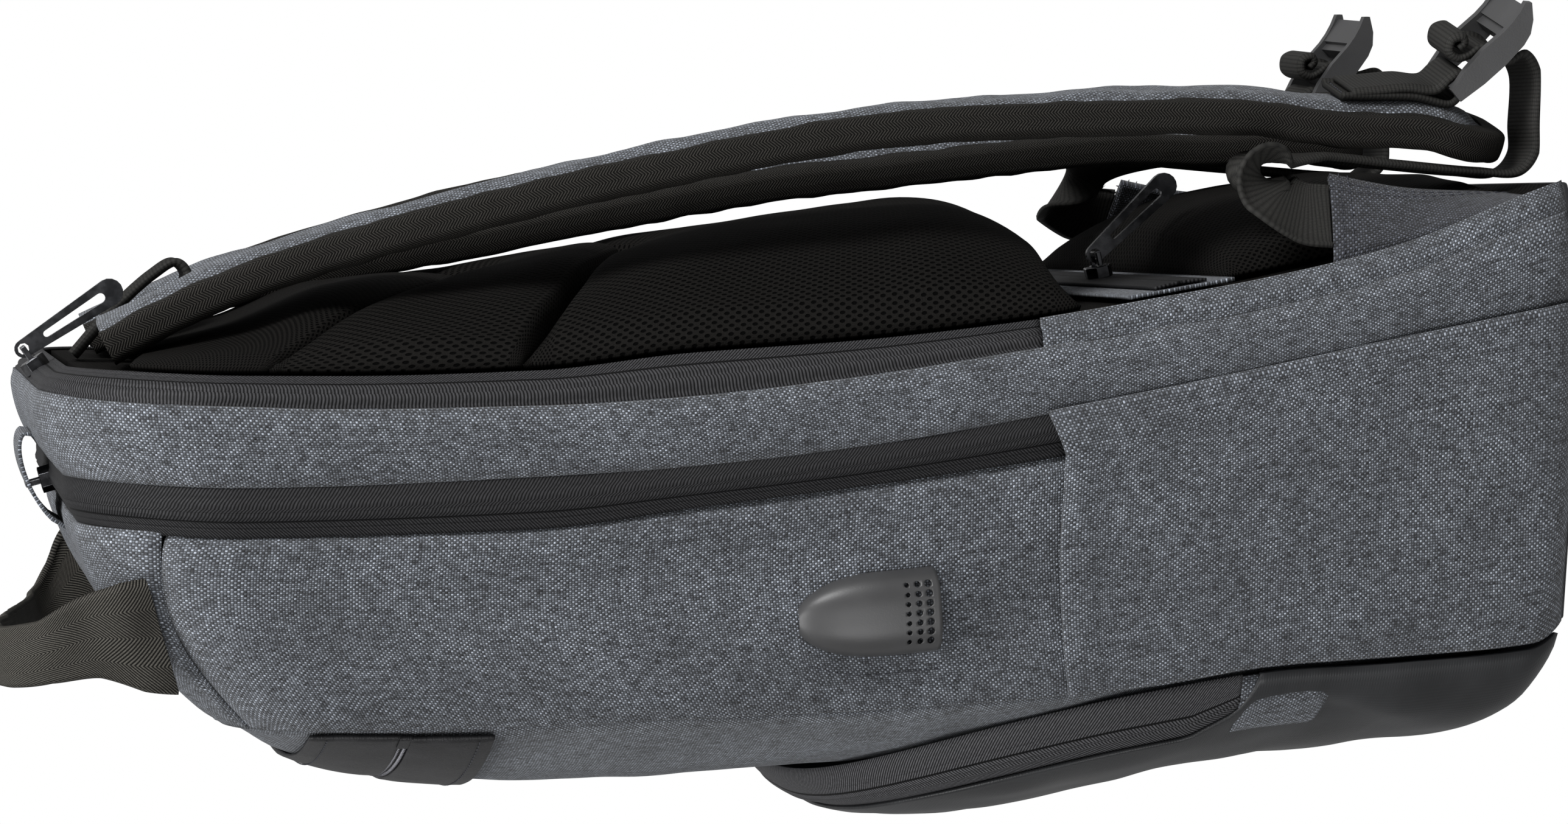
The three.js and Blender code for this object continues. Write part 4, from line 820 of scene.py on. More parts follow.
steps = np.linspace(0, 1, 400)
band_width = width_of((LAPTOP, MAIN_BACK))
rear_row = LAPTOP + 5.0 * MM / band_width
stitch("laptop_band_stitches", [
    skin_line(steps * 0 + rear_row, 2 * steps, band_puff),
    skin_line(steps * 0 + MAIN_BACK - 4.5 * MM / band_width, 2 * steps, band_puff),
])
for side, name in SIDES:
    def flip(t, side=side):
        return t if side > 0 else 2 - t

    across = MAIN_BACK + 0.06 + (FRONT - MAIN_BACK - 0.08) * steps[::4]
    hems = [skin_line(across, flip(pocket_mouth(across) - 0.8 * drop / (380 * MM)), pocket_slack)
            for drop in (6.0 * MM, 8.4 * MM)]
    stitch("pocket_hem_stitches_" + name, hems)
    rear = MAIN_FRONT + 5.0 * MM / (75 * MM)
    rise = np.linspace(0.385, 0.79, 260)
    fore = np.linspace(0.42, 0.78, 220)
    stitch("side_panel_stitches_" + name, [
        skin_line(rise * 0 + rear, flip(rise), side_puff),
        skin_line(fore * 0 + FRONT - 0.075, flip(fore), side_puff),
    ])

# The main zip's coil lies under its tape, and only the turns that show in the joint are seen. They are a row
# of small pieces on the zip's middle line, and their pale colour is painted highlight for the glints of the
# coil's turns.
# Pale grey thread colour: painted highlight standing in for the coil's glints.
coil_glint_thread = thread_finish("zip coil painted glints", (0.22, 0.22, 0.225))
COIL_MIDDLE = (MAIN_FRONT + MAIN_BACK - 0.01) / 2
coil_low = float(place_at(COIL_MIDDLE, ZIP_END - 10 * MM))
coil_t = np.linspace(coil_low, 2 - coil_low, 900)
coil_line = skin(np.full(900, COIL_MIDDLE), coil_t, 0.2 * MM)
COIL_TURN = (0.75 * MM, 0.6 * MM, 0.5 * MM)
pieces_along("main_zip_coil_painted_glints", [coil_line], 1.45 * MM, COIL_TURN, coil_glint_thread)

# The hidden front zip has teeth of bright metal. Two rows of them show in the leather's slit, on the
# zip's tape just behind it.
metal_teeth = Finish("bright zip teeth", Metallic=1.0, Roughness=0.3)
metal_place = metal_teeth.in_piece()
metal_wear = metal_teeth.noise(metal_place, 700.0, 2.0)
metal_teeth.shades(metal_wear, (0.03, 0.03, 0.033), (0.11, 0.11, 0.12))
metal_teeth.feed("Roughness", 0.25 + metal_wear * 0.2)
teeth_x = np.linspace(-1, 1, 240) * slit_half(0.0)
teeth_lines = []
for row in (-1, 1):
    z = np.full(teeth_x.shape, SLIT_MIDDLE + row * 0.9 * MM)
    teeth_lines.append(np.stack([teeth_x, front_y(teeth_x, z) - 1.3 * MM, z], -1))
TOOTH = (1.1 * MM, 1.5 * MM, 1.6 * MM)
pieces_along("front_zip_teeth", teeth_lines, 2.0 * MM, TOOTH, metal_teeth.material)

# The leather is sewn to the front panel with one row of dark thread near its lower edge and one near its
# upper edge. The rows lie on the leather, whose lower sheet stands a little prouder.
patch_rows = []
for z_row, proud in ((PATCH[0] + 4.5 * MM, 0.6 * MM), (PATCH[1] - 5.5 * MM, 0.05 * MM)):
    row_z = np.full(300, z_row)
    row_x = np.linspace(-0.985, 0.985, 300) * patch_half(row_z)
    patch_rows.append(np.stack([row_x, front_y(row_x, row_z) - LIFT - proud, row_z], -1))
stitch("leather_stitches", patch_rows)

# Front pocket: a face of dark coated cloth over a shallow gusset, with a wide arch of zip tape round its
# top and heathered tabs over the zip's ends. The coated cloth is stiff, so it breaks into flat facets and
# soft folds.
POCKET_MIDDLE = 100 * MM
POCKET_TOP = 238 * MM
POCKET_ZIP_END = 112 * MM
POCKET_DEPTH = 22 * MM
POCKET_ZIP = 15 * MM
POCKET_HALF = SEAM_WIDTHS[FRONT] - 0.8 * MM
POCKET_LOW = FLOOR_LINE + 0.4 * MM
# The rim runs straight up each side for this share of its way, and then round the arch.
ARCH_FROM = 0.25


def pocket_rim(q):
    """The pocket's outline: q runs from 0 at the foot on the hood's side, over the arch, to 1."""
    side = np.where(q < 0.5, 1.0, -1.0)
    h = np.where(q < 0.5, q, 1 - q)
    z_side = POCKET_LOW + (POCKET_ZIP_END - POCKET_LOW) * h / ARCH_FROM
    a = np.clip((h - ARCH_FROM) / (0.5 - ARCH_FROM), 0, 1) * np.pi / 2
    x_arch = POCKET_HALF * np.maximum(np.cos(a), 0) ** (2 / 2.6)
    z_arch = POCKET_ZIP_END + (POCKET_TOP - POCKET_ZIP_END) * np.sin(a) ** (2 / 2.2)
    x = np.where(h < ARCH_FROM, POCKET_HALF - base_inset(z_side), x_arch)
    z = np.where(h < ARCH_FROM, z_side, z_arch)
    return side * x, z


def zip_share(q):
    """Where the zip tape's inner edge runs, as a share of the way from the middle to the rim."""
    x, z = pocket_rim(q)
    share = 1 - POCKET_ZIP / np.hypot(x, z - POCKET_MIDDLE)
    ending = np.clip((np.minimum(q, 1 - q) - 0.235) / 0.03, 0, 1)
    return 1 + (share - 1) * ending


def pocket_dome(x, z, share):
    """Points of the pocket, a share of the way from its middle to places on its rim."""
    x, z = np.broadcast_arrays(x * share, POCKET_MIDDLE + (z - POCKET_MIDDLE) * share)
    rise = POCKET_DEPTH * np.sqrt(np.maximum(0, 1 - share**6))
    return np.stack([x, front_y(x, z) - 0.8 * MM - np.maximum(rise, 1.3 * MM), z], -1)


def pocket_grid(q, share):
    return pocket_dome(*pocket_rim(q), share)


TAB_TOP = 0.247
arch, tape_share = lattice(np.linspace(TAB_TOP, 1 - TAB_TOP, 200), np.linspace(0, 1, 19))
arch_grid = pocket_grid(arch, 1 + (zip_share(arch) - 1) * tape_share)
from_joint = (tape_share - 0.55) * POCKET_ZIP * 1.35
coil_ridge = 1.1 * MM * np.exp(-((from_joint / (3 * MM)) ** 4))
coil_groove = 0.6 * MM * np.exp(-((from_joint / (0.6 * MM)) ** 2))
arch_grid[..., 1] -= coil_ridge - coil_groove
pocket_tape = zip_tape("pocket zip tape", POCKET_ZIP * 0.74, 0.11)
fits(cloth_piece("pocket_zip_tape", arch_grid, 1.0 * MM, pocket_tape), "pocket_zip")


def coated_cloth(name):
    coated = Finish(name, Roughness=0.4)
    place, along, across = coated.along_cloth()
    ribs = ((along / (0.9 * MM)) * math.pi).sine().abs() * ((across / (0.9 * MM)) * math.pi).sine().abs()
    haze = coated.noise(place, 35.0, 4.0)
    coated.shades(haze.rises(0.3, 0.75), (0.013, 0.0135, 0.0145), (0.026, 0.027, 0.029))
    coated.feed("Roughness", 0.38 + haze * 0.18 - ribs * 0.06)
    coated.feed("Specular IOR Level", 0.3)
    coated.bump(ribs * 0.5 + haze * 0.8, 0.16 * MM, 0.6)
    return coated.material


tarpaulin = coated_cloth("coated cloth")
FACE_FOLDS = [
    ((-118, 205), (-96, 120), 12, 2.4),
    ((-100, 130), (-112, 95), 7, 2.2),
    ((-86, 96), (-100, 60), 8, -2.0),
    ((-110, 150), (-92, 60), 14, -1.6),
    ((-84, 75), (-100, 20), 7, 2.0),
    ((-120, 90), (-100, 20), 12, 1.6),
]
face_rows, face_shares = lattice(np.linspace(0, 1, 240), 1 - np.linspace(0, 1, 48) ** 1.25)
face = pocket_grid(face_rows, face_shares * zip_share(face_rows))
foot_x = np.linspace(face[-1, 0, 0], face[0, 0, 0], 60)[1:-1]
foot = pocket_dome(foot_x[:, None], POCKET_LOW, face_shares[:1])
face = np.concatenate([face, foot, face[:1]])
side_bias = np.clip(np.abs(face[..., 0]) / POCKET_HALF, 0, 1)
quiet = np.clip((1 - face_shares[:1]) / 0.08, 0.15, 1)
bulge = lumps(face, 46 * MM, 2.4 * MM, 31) + lumps(face, 20 * MM, 0.9 * MM, 32)
bulge = bulge + sum(crease(face, *fold) for fold in FACE_FOLDS) * (0.35 + 0.65 * side_bias)
face[..., 1] -= bulge * quiet
flat_map = np.stack([face[..., 2], face[..., 0]], -1)
face_cloth = cloth_piece("pocket_face_cloth", face[:, ::-1], 1.3 * MM, tarpaulin, flat_map[:, ::-1])
closed = face_cloth.modifiers.new("closed middle", "WELD")
closed.merge_threshold = 0.02 * MM
face_cloth.modifiers.move(1, 0)
fits(face_cloth, "pocket_face")
for side, name in SIDES:
    tab_q, tab_share = lattice(np.linspace(0.176, TAB_TOP, 26), 1 - np.linspace(0, 1, 14) * 0.115)
    tab = pocket_grid(tab_q if side > 0 else 1 - tab_q, tab_share)
    tab[..., 1] -= 1.5 * MM + rolled_edge(26, 14, 1.3 * MM, 1.2 * MM, 0.8 * MM, 2 * MM)
    if side < 0:
        tab = tab[::-1]
    tab_cloth = cloth_piece("pocket_tab_cloth_" + name, tab, 1.2 * MM, heathered)
    fits(tab_cloth, "pocket_zip_tab_" + name)

# Base: a stiff flat panel of the coated cloth, sewn in all round. It is the CAD solid with rounded edges,
# and its haze is mapped in space because the solid has no cloth map.


def edged_copy(node, name, finish, bevel):
    """A rigid CAD node with its edges rounded as the moulded or cast piece has them."""
    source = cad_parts[node].data
    form = bmesh.new()
    form.from_mesh(source)
    bmesh.ops.remove_doubles(form, verts=form.verts, dist=0.01 * MM)
    bmesh.ops.dissolve_limit(form, angle_limit=math.radians(4), verts=form.verts, edges=form.edges)
    bmesh.ops.recalc_face_normals(form, faces=form.faces)
    mesh = bpy.data.meshes.new(name)
    form.to_mesh(mesh)
    form.free()
    piece = put(name, mesh)
    piece.data.materials.clear()
    piece.data.materials.append(finish)
    piece.data.polygons.foreach_set("use_smooth", [True] * len(piece.data.polygons))
    rounding = piece.modifiers.new("rounded edges", "BEVEL")
    rounding.width = bevel
    rounding.segments = 3
    rounding.limit_method = "ANGLE"
    rounding.angle_limit = math.radians(28)
    rounding.harden_normals = True
    piece.modifiers.new("clean shading", "WEIGHTED_NORMAL").keep_sharp = True
    return piece


def coated_base(name):
    coated = Finish(name, Roughness=0.5)
    coated.feed("Specular IOR Level", 0.25)
    place = coated.in_piece()
    haze = coated.noise(place, 30.0, 4.0)
    coated.shades(haze.rises(0.3, 0.75), (0.014, 0.0145, 0.016), (0.028, 0.029, 0.032))
    coated.bump(haze, 0.3 * MM, 0.5)
    return coated.material


base = edged_copy("base_panel", "base_panel_cloth", coated_base("coated base"), 1.0 * MM)
fits(base, "base_panel")

# Back: black airmesh over foam, sewn down into four pads that meet in chevrons. The pads stand on a flat
# panel that closes the bag. Each pad's sheet swells from its seams to a crest, and the crests follow one
# curve up the back.


AIRMESH_PITCH = 2.9 * MM


def air_mesh(name):
    mesh = Finish(name, Roughness=0.85)
    _, along, across = mesh.along_cloth()
    run = along / AIRMESH_PITCH
    cross = across / (AIRMESH_PITCH * 0.58)

    def ring(shift):
        a = (run + shift) % 1.0 - 0.5
        b = ((cross / 2.0 + shift) % 1.0 - 0.5) * 1.16
        return (a * a + b * b) ** 0.5

    apart = ring(0.0).least(ring(0.5))
    knit = apart.rises(0.17, 0.27)
    yarn = mesh.noise(mesh.place(along * 2600.0, across * 2600.0), 1.0, 1.0)
    share = knit * (0.35 + yarn * 0.65)
    mesh.shades(share, (0.0005, 0.0005, 0.0005), (0.0115, 0.0108, 0.0100))
    mesh.feed("Specular IOR Level", 0.04)
    mesh.bump(knit + yarn * 0.25, 0.7 * MM, 0.9)
    return mesh.material


airmesh = air_mesh("black airmesh")
PANEL_INSET = -2.6 * MM
PAD_HEIGHT = 38 * MM
CREST_HEIGHTS = [0.0, 0.03, 0.07, 0.13, 0.22, 0.3, 0.42, 0.56, 0.64, 0.7, 0.8, 0.87, 0.93, 0.98]
CRESTS = [0.1, 0.2, 0.36, 0.52, 0.56, 0.92, 1.0, 0.9, 0.83, 0.76, 0.64, 0.3, 0.14, 0.08]
crest_curve = curve_through(CREST_HEIGHTS, CRESTS)
PADS = {
    "back_pad_top": (0.942, 0.92, 0.862, 0.68, 0.5, 0.72, 4 * MM),
    "back_pad_upper": (0.858, 0.676, 0.702, 0.583, 0.72, 0.78, 4 * MM),
    "back_pad_lower": (0.698, 0.579, 0.335, 0.308, 0.78, 0.2, 4 * MM),
    "back_pad_base": (0.222, 0.222, 0.035, 0.028, 0.2, 0.5, 24 * MM),
}


def back_seam_y(z):
    return seam_y(np.zeros(np.shape(z)), z)


z, u = lattice(np.linspace(FLOOR_LINE, SEAM_TOPS[BACK] - 5 * MM, 80), np.linspace(-1, 1, 24))
behind = np.stack([u * half_width(BACK, z, -0.8 * MM), back_seam_y(z) - 0.4 * MM, z], -1)
behind = cloth_piece("back_panel_cloth", behind, 2.4 * MM, airmesh)
fits(behind, "back_panel")
for name, (top_side, top_mid, low_side, low_mid, top_keep, low_keep, margin) in PADS.items():
    rows, cols = 68, 96
    v, u = lattice(np.linspace(0, 1, rows), np.linspace(-1, 1, cols))
    bend = np.sqrt(u**2 + 0.003)
    top = HEIGHT * (top_mid + (top_side - top_mid) * bend)
    low = HEIGHT * (low_mid + (low_side - low_mid) * bend)
    z = top + (low - top) * v
    x = u * half_width(BACK, z, PANEL_INSET - margin)
    near_edge = np.minimum(np.minimum(v, 1 - v), 0.3) / 0.3
    edge = np.sqrt(np.clip(1 - (1 - near_edge) ** 2, 0, 1))
    keep = np.where(v < 0.5, top_keep, low_keep)
    keep = keep + (1 - keep) * edge
    across = 0.16 + 0.84 * (1 - np.abs(u) ** 3)
    lip = np.clip(np.minimum(np.minimum(v, 1 - v) * rows, (1 - np.abs(u)) * cols / 2) / 3.0, 0, 1) ** 0.5
    crest = PAD_HEIGHT * crest_curve(z / HEIGHT)
    grid = np.stack([x, back_seam_y(z), z], -1)
    soft = lumps(grid, 30 * MM, 1.2 * MM, 41)
    grid[..., 1] += 1 * MM + (crest * keep * across + soft) * lip
    pad = cloth_piece(name + "_mesh", grid, 1.6 * MM, airmesh)
    fits(pad, name)

# Back pocket: a strip of the heathered cloth that shows between the two lower pads, with a black zip
# across it.
STRIP = (0.23 * HEIGHT, 0.301 * HEIGHT)
BACK_ZIP = (0.248 * HEIGHT, 0.283 * HEIGHT)


def back_sheet(name, low, high, inset, rise, wall, finish, counts=(16, 60), puff=0.0):
    rows, cols = counts
    z, u = lattice(np.linspace(high, low, rows), np.linspace(-1, 1, cols))
    x = u * half_width(BACK, z, PANEL_INSET - inset)
    share = np.sin(np.pi * np.linspace(0, 1, rows))[:, None]
    grid = np.stack([x, back_seam_y(z) + rise + puff * share, z], -1)
    return cloth_piece(name, grid, wall, finish)


strip = back_sheet("back_pocket_strip", *STRIP, 4 * MM, 1.5 * MM, 1.2 * MM, heathered)
fits(strip, "back_pocket_lining")
back_half = (BACK_ZIP[1] - BACK_ZIP[0]) / 2
back_tape = zip_tape("back zip tape", back_half)
back_zip = back_sheet("back_pocket_tape", *BACK_ZIP, 6 * MM, 3.0 * MM, 1.0 * MM, back_tape, (20, 60),
                      0.5 * MM)
turn_map(back_zip)
fits(back_zip, "back_pocket_zip")

# Zip sliders and pulls: cast metal with a dark nickel finish and rounded edges. The main zip's slider
# sits in a small tunnel of the heathered cloth, so that nobody can pull it from outside.


def dark_nickel(name):
    metal = Finish(name, Metallic=1.0, Roughness=0.2)
    place = metal.in_piece()
    wear = metal.noise(place, 260.0, 5.0)
    metal.shades(wear.rises(0.35, 0.7), (0.055, 0.056, 0.060), (0.12, 0.122, 0.13))
    metal.feed("Roughness", 0.16 + wear * 0.2)
    metal.bump(wear, 0.03 * MM, 0.4)
    return metal.material


nickel = dark_nickel("dark nickel")
METAL_PIECES = {
    "laptop_slider": "bag",
    "laptop_pull": "laptop_pull",
    "back_pocket_slider": "bag",
    "back_pocket_pull": "back_pocket_pull",
    "main_slider": "bag",
}
for node, body in METAL_PIECES.items():
    fits(edged_copy(node, node + "_cast", nickel, 0.45 * MM), node, body)

GARAGE = (9 * MM, -34 * MM)
GARAGE_RISE = 11.5 * MM
main_out = np.array([0.0, 0.35, 0.94])


def garage_ring(x):
    """One arch of the zip garage, at a distance from the bag's middle."""
    corner = between_seams(SEAM_CORNERS, np.array(2.5))
    width = between_seams(SEAM_WIDTHS, np.array(2.5))
    t = 1 - (1 - CORNER_TO) * x / (width - corner)
    rear, fore = skin(1.72, t, 0.8 * MM), skin(3.16, t, 0.8 * MM)
    share = np.linspace(0, 1, 25)
    arch = np.clip(np.sin(np.pi * share), 0, 1) ** 0.34
    return rear + (fore - rear) * share[:, None] + main_out * (GARAGE_RISE - 0.4 * MM) * arch[:, None]


garage_x = np.linspace(*GARAGE, 24)
garage = np.stack([garage_ring(x) for x in garage_x])
fits(cloth_piece("zip_garage_cloth", garage, 1.2 * MM, heathered), "zip_garage")

# Shoulder straps: foam with the heathered cloth on the face and airmesh below, edged all round with a
# wide woven tape. The padded face is softly uneven.
STRAP_UP = [0.95, 0.912, 0.867, 0.803, 0.73, 0.67, 0.607, 0.557, 0.471, 0.387, 0.266, 0.209, 0.143, 0.076,
            0.038, 0.015]
STRAP_DRIFT = [0.0, 0.05, 0.09, 0.14, 0.23, 0.32, 0.41, 0.5, 0.64, 0.76, 0.87, 0.92, 0.96, 0.986, 0.995, 1.0]
STRAP_BEHIND = [0.05, 0.12, 0.187, 0.259, 0.32, 0.36, 0.38, 0.402, 0.433, 0.43, 0.396, 0.367, 0.3, 0.223,
                0.138, 0.085]
STRAP_TOP_ACROSS = 0.4
STRAPS = {
    "hood_side": {"side": 1, "end_across": 0.618, "arch": 1.0, "turn": 0, "end_turn": 14},
    "far_side": {"side": -1, "end_across": 0.3, "arch": 0.86, "turn": -15, "end_turn": -4},
}
STRAP_WIDTH = 62 * MM
STRAP_END_WIDTH = 50 * MM
EDGE = 4.75 * MM
CROWN = 3.5 * MM
HEM = 9 * MM


def smooth_line(points, at):
    """Places on a smooth line through points, by how many points it has passed."""
    p = np.array(points, float)
    p = np.vstack([2 * p[0] - p[1], p, 2 * p[-1] - p[-2]])
    at = np.asarray(at, float)
    i = np.clip(np.floor(at).astype(int), 0, len(p) - 4)
    f = (at - i)[:, None]
    a, b, c, d = p[i], p[i + 1], p[i + 2], p[i + 3]
    first, mid, last = (np.linalg.norm(v - w, axis=-1)[:, None] ** 0.5 + 1e-9
                        for v, w in ((b, a), (c, b), (d, c)))
    leave = ((b - a) / first - (c - a) / (first + mid) + (c - b) / mid) * mid
    arrive = ((c - b) / mid - (d - b) / (mid + last) + (d - c) / last) * mid
    turn = 2 * b - 2 * c + leave + arrive
    bend = -3 * b + 3 * c - 2 * leave - arrive
    return b + leave * f + bend * f**2 + turn * f**3


def unit(v):
    return v / np.linalg.norm(v, axis=-1, keepdims=True)


def between(at, places, points):
    """Points or directions known at some places, read at others."""
    return np.stack([np.interp(at, places, points[:, k]) for k in range(3)], -1)


def by_length(line, shares):
    """Places and directions at shares of a line's length."""
    run = run_of(line)
    ways = unit(np.gradient(line, run, axis=0))
    at = np.clip(shares, 0, 1) * run[-1]
    return between(at, run, line), unit(between(at, run, ways)), run[-1]


def strap_frame(strap, u):
    """Middle, lengthways, outward and sideways directions of a strap at shares of its length."""
    u = np.atleast_1d(np.asarray(u, float))
    z = np.array(STRAP_UP) * HEIGHT
    drift = STRAP_TOP_ACROSS + (strap["end_across"] - STRAP_TOP_ACROSS) * np.array(STRAP_DRIFT)
    y = back_seam_y(z) + strap["arch"] * np.array(STRAP_BEHIND) * DEPTH
    stops = np.stack([strap["side"] * drift * HALF_WIDTH, y, z], -1)
    line = smooth_line(stops, np.linspace(0, len(stops) - 1, 1200))
    middle, along, length = by_length(line, u)
    level = unit(np.stack([0 * along[:, 0], -along[:, 2], along[:, 1]], -1))
    flat = unit(np.cross(level, along))
    flat = flat * np.sign(flat[:, :1] * strap["side"])
    share = np.clip((u - 0.6) / 0.35, 0, 1)
    turn = (strap["turn"] + (strap["end_turn"] - strap["turn"]) * share) * np.clip(u / 0.3, 0, 1)
    turn = np.radians(turn)[:, None]
    outward = level * np.cos(turn) + flat * np.sin(turn)
    sideways = flat * np.cos(turn) - level * np.sin(turn)
    return middle, along, outward, sideways, length


def strap_half(u):
    """Half a strap's width, by its share of the length."""
    return (STRAP_WIDTH + (STRAP_END_WIDTH - STRAP_WIDTH) * np.clip((u - 0.45) / 0.4, 0, 1)) / 2


def strap_rise(inside, radius, under):
    """How far a strap's face stands off its middle, by the distance in from its edge."""
    rim = np.interp(inside / MM, [0, 1.6, 8], [0.55, 0.8, 0.95] if under else [0.55, 0.75, 0.85]) * EDGE
    if under:
        return -rim - 1.0 * MM * np.clip((inside - HEM) / (12 * MM), 0, 1)
    crown = EDGE + CROWN * radius / (STRAP_WIDTH / 2)
    fill = np.clip((inside - 8 * MM) / (radius * 0.65 - 8 * MM), 0, 1)
    return rim + (crown - rim) * np.sin(fill * np.pi / 2) ** 1.2


def strap_face(strap, under, seed):
    """One face of a strap with its rounded end, as a grid of points."""
    length = strap_frame(strap, [0.0])[4]
    nose_radius = STRAP_END_WIDTH / 2
    nose_at = 1 - nose_radius / length
    stations = np.linspace(0, nose_at, 165)
    middle, along, outward, sideways, _ = strap_frame(strap, stations)
    nose = [v[-1:] for v in (middle, along, outward, sideways)]
    past = np.sin(np.linspace(0, np.pi / 2, 22)[1:] * 0.985) * (nose_radius - 2.4 * MM)
    middle = np.vstack([middle, nose[0] + nose[1] * past[:, None]])
    outward = np.vstack([outward, np.repeat(nose[2], len(past), 0)])
    sideways = np.vstack([sideways, np.repeat(nose[3], len(past), 0)])
    radius = np.concatenate([strap_half(stations), np.full(len(past), nose_radius)]) - 2.0 * MM
    past = np.concatenate([0 * stations, past])
    half = np.sqrt(np.maximum(radius**2 - past**2, (0.8 * MM) ** 2))
    a = np.linspace(-1, 1, 37)[None] * half[:, None]
    inside = radius[:, None] - np.hypot(a, past[:, None])
    rise = strap_rise(np.maximum(inside, 0), radius[:, None], under)
    grid = middle[:, None] + sideways[:, None] * a[..., None]
    soft = lumps(grid, 26 * MM, 1.3 * MM, seed) + lumps(grid, 9 * MM, 0.35 * MM, seed + 1)
    lively = np.clip(inside / HEM, 0, 1)
    rise = rise + soft * lively * (-1 if under else 1)
    return grid + outward[:, None] * rise[..., None], np.stack([np.broadcast_to(
        np.linspace(0, length, len(radius))[:, None], a.shape), a], -1)


def woven_tape(name, dark, light, rib=1.05 * MM, column=2.6 * MM):
    """Herringbone tape: ribs that slant one way and then the other in narrow columns."""
    tape = Finish(name, Roughness=0.8)
    _, along, across = tape.along_cloth()
    fold = ((across / column) % 2.0 - 1.0).abs() * column
    ridge = ((along + fold * 0.9) / rib).ribs()
    ply = (across / (0.5 * MM)).ribs()
    fuzz = tape.noise(tape.place(along * 1400.0, across * 1400.0), 1.0, 1.0)
    share = (ridge**2.2) * (0.5 + ply * 0.35) * (0.4 + fuzz * 0.9)
    tape.shades(share, dark, light)
    tape.feed("Specular IOR Level", 0.08)
    tape.bump(ridge * 0.8 + ply * 0.2, 0.35 * MM, 0.9)
    return tape.material


binding_tape = woven_tape("binding tape", (0.0006, 0.0006, 0.0006), (0.050, 0.047, 0.042))
HEM_SECTION = [(-9, 5.3), (-5.5, 5.5), (-2.2, 5.1), (-0.5, 3.9), (0, 1.6), (0, -1.6), (-0.5, -4.0),
               (-2.2, -5.3), (-5.5, -6.0), (-9, -5.9)]
for name, strap in STRAPS.items():
    over, over_map = strap_face(strap, False, 51)
    under, under_map = strap_face(strap, True, 53)
    if strap["side"] > 0:
        over, over_map = over[:, ::-1], over_map[:, ::-1]
    else:
        under, under_map = under[:, ::-1], under_map[:, ::-1]
    face_cloth = cloth_piece("strap_face_" + name, over, 1.6 * MM, heathered, over_map)
    fits(face_cloth, "strap_" + name)
    lined = cloth_piece("strap_lining_" + name, under, 1.6 * MM, airmesh, under_map)
    fits(lined, None)

    length = strap_frame(strap, [0.0])[4]
    nose_at = 1 - STRAP_END_WIDTH / 2 / length
    stations = np.linspace(0, nose_at, 155)
    middle, along, outward, sideways, _ = strap_frame(strap, stations)
    half = strap_half(stations)
    turns = np.linspace(0, np.pi, 40)[1:-1][:, None]
    reach = sideways[-1] * np.cos(turns) + along[-1] * np.sin(turns)
    middles = np.vstack([middle, np.repeat(middle[-1:], len(turns), 0), middle[::-1]])
    ways = np.vstack([sideways, reach, -sideways[::-1]])
    outs = np.vstack([outward, np.repeat(outward[-1:], len(turns), 0), outward[::-1]])
    halves = np.concatenate([half, np.full(len(turns), STRAP_END_WIDTH / 2), half[::-1]])
    section = smooth_line(np.array(HEM_SECTION) * MM, np.linspace(0, len(HEM_SECTION) - 1, 27))
    grid = middles[:, None] + ways[:, None] * (halves[:, None] + section[:, 0])[..., None]
    grid = grid + outs[:, None] * section[:, 1][None, :, None]
    pucker = lumps(grid, 9 * MM, 0.7 * MM, 57)
    face_way = np.sign(section[:, 1])[None] * np.clip(-section[:, 0] / (3 * MM), 0, 1)[None]
    edge_way = (1 - np.abs(face_way)) * 0.5
    grid = grid + outs[:, None] * (pucker * face_way)[..., None]
    grid = grid + ways[:, None] * (pucker * edge_way)[..., None]
    if strap["side"] > 0:
        grid = grid[:, ::-1]
    fits(cloth_piece("strap_edge_" + name, grid, 0.9 * MM, binding_tape), "strap_binding_" + name)

# Webbing: black ribbed nylon. Each strap's end carries a sewn piece that holds the ladder lock, and
# another length runs from a rolled tail through the lock and down to the wing.


def ribbed_webbing(name):
    webbing = Finish(name, Roughness=0.72)
    _, along, across = webbing.along_cloth()
    rib = (along / (1.3 * MM)).ribs()
    warp = (across / (0.62 * MM)).ribs()
    fuzz = webbing.noise(webbing.place(along * 1500.0, across * 1500.0), 1.0, 1.0)
    share = (0.35 + rib * 0.5) * (0.5 + warp * 0.4) * (0.5 + fuzz * 0.7)
    webbing.shades(share, (0.003, 0.003, 0.003), (0.040, 0.039, 0.036))
    webbing.feed("Specular IOR Level", 0.15)
    webbing.bump(rib * 0.5 + warp * 0.3, 0.25 * MM, 0.7)
    return webbing.material


webbing_black = ribbed_webbing("black webbing")
WEB_WIDTH = 25 * MM
WEB_THICK = 1.6 * MM


def ribbon(name, stops, width, thick, steps, finish, cols=13, wave=0.0, seed=61, wide=None, square=1.0):
    """A flat band through stops, each a place and the direction across the band.

    Where wide is under 1 the band is folded. Where square is under 1 it shears in its bends.
    """
    at = np.linspace(0, len(stops) - 1, steps)
    line = smooth_line([place for place, _ in stops], at)
    count = np.arange(len(stops))
    ways = np.array([way for _, way in stops], float)
    across = between(at, count, ways)
    along = unit(np.gradient(line, axis=0))
    side = unit(across - square * along * (across * along).sum(-1, keepdims=True))
    up = unit(np.cross(along, side))
    shares = np.interp(at, count, wide or [1] * len(stops))
    across_by = np.linspace(-0.5, 0.5, cols)[None] * width
    a = across_by * shares[:, None]
    grid = line[:, None] + side[:, None] * a[..., None]
    bend = lumps(grid, 16 * MM, wave, seed)
    rim = np.clip((width / 2 - np.abs(across_by)) / (1.0 * MM), 0, 1) ** 0.5
    fold = thick * (1 / shares[:, None] - 1) * 0.5
    grid = grid + up[:, None] * (thick * (rim - 0.5) + fold + bend)[..., None]
    map_by = np.stack(lattice(run_of(line), across_by[0]), -1)
    return cloth_piece(name, grid, thick, finish, map_by)


LOCK_AT = 0.945
LOCK_RISE = 14 * MM
LOCK_TILT = math.radians(57)
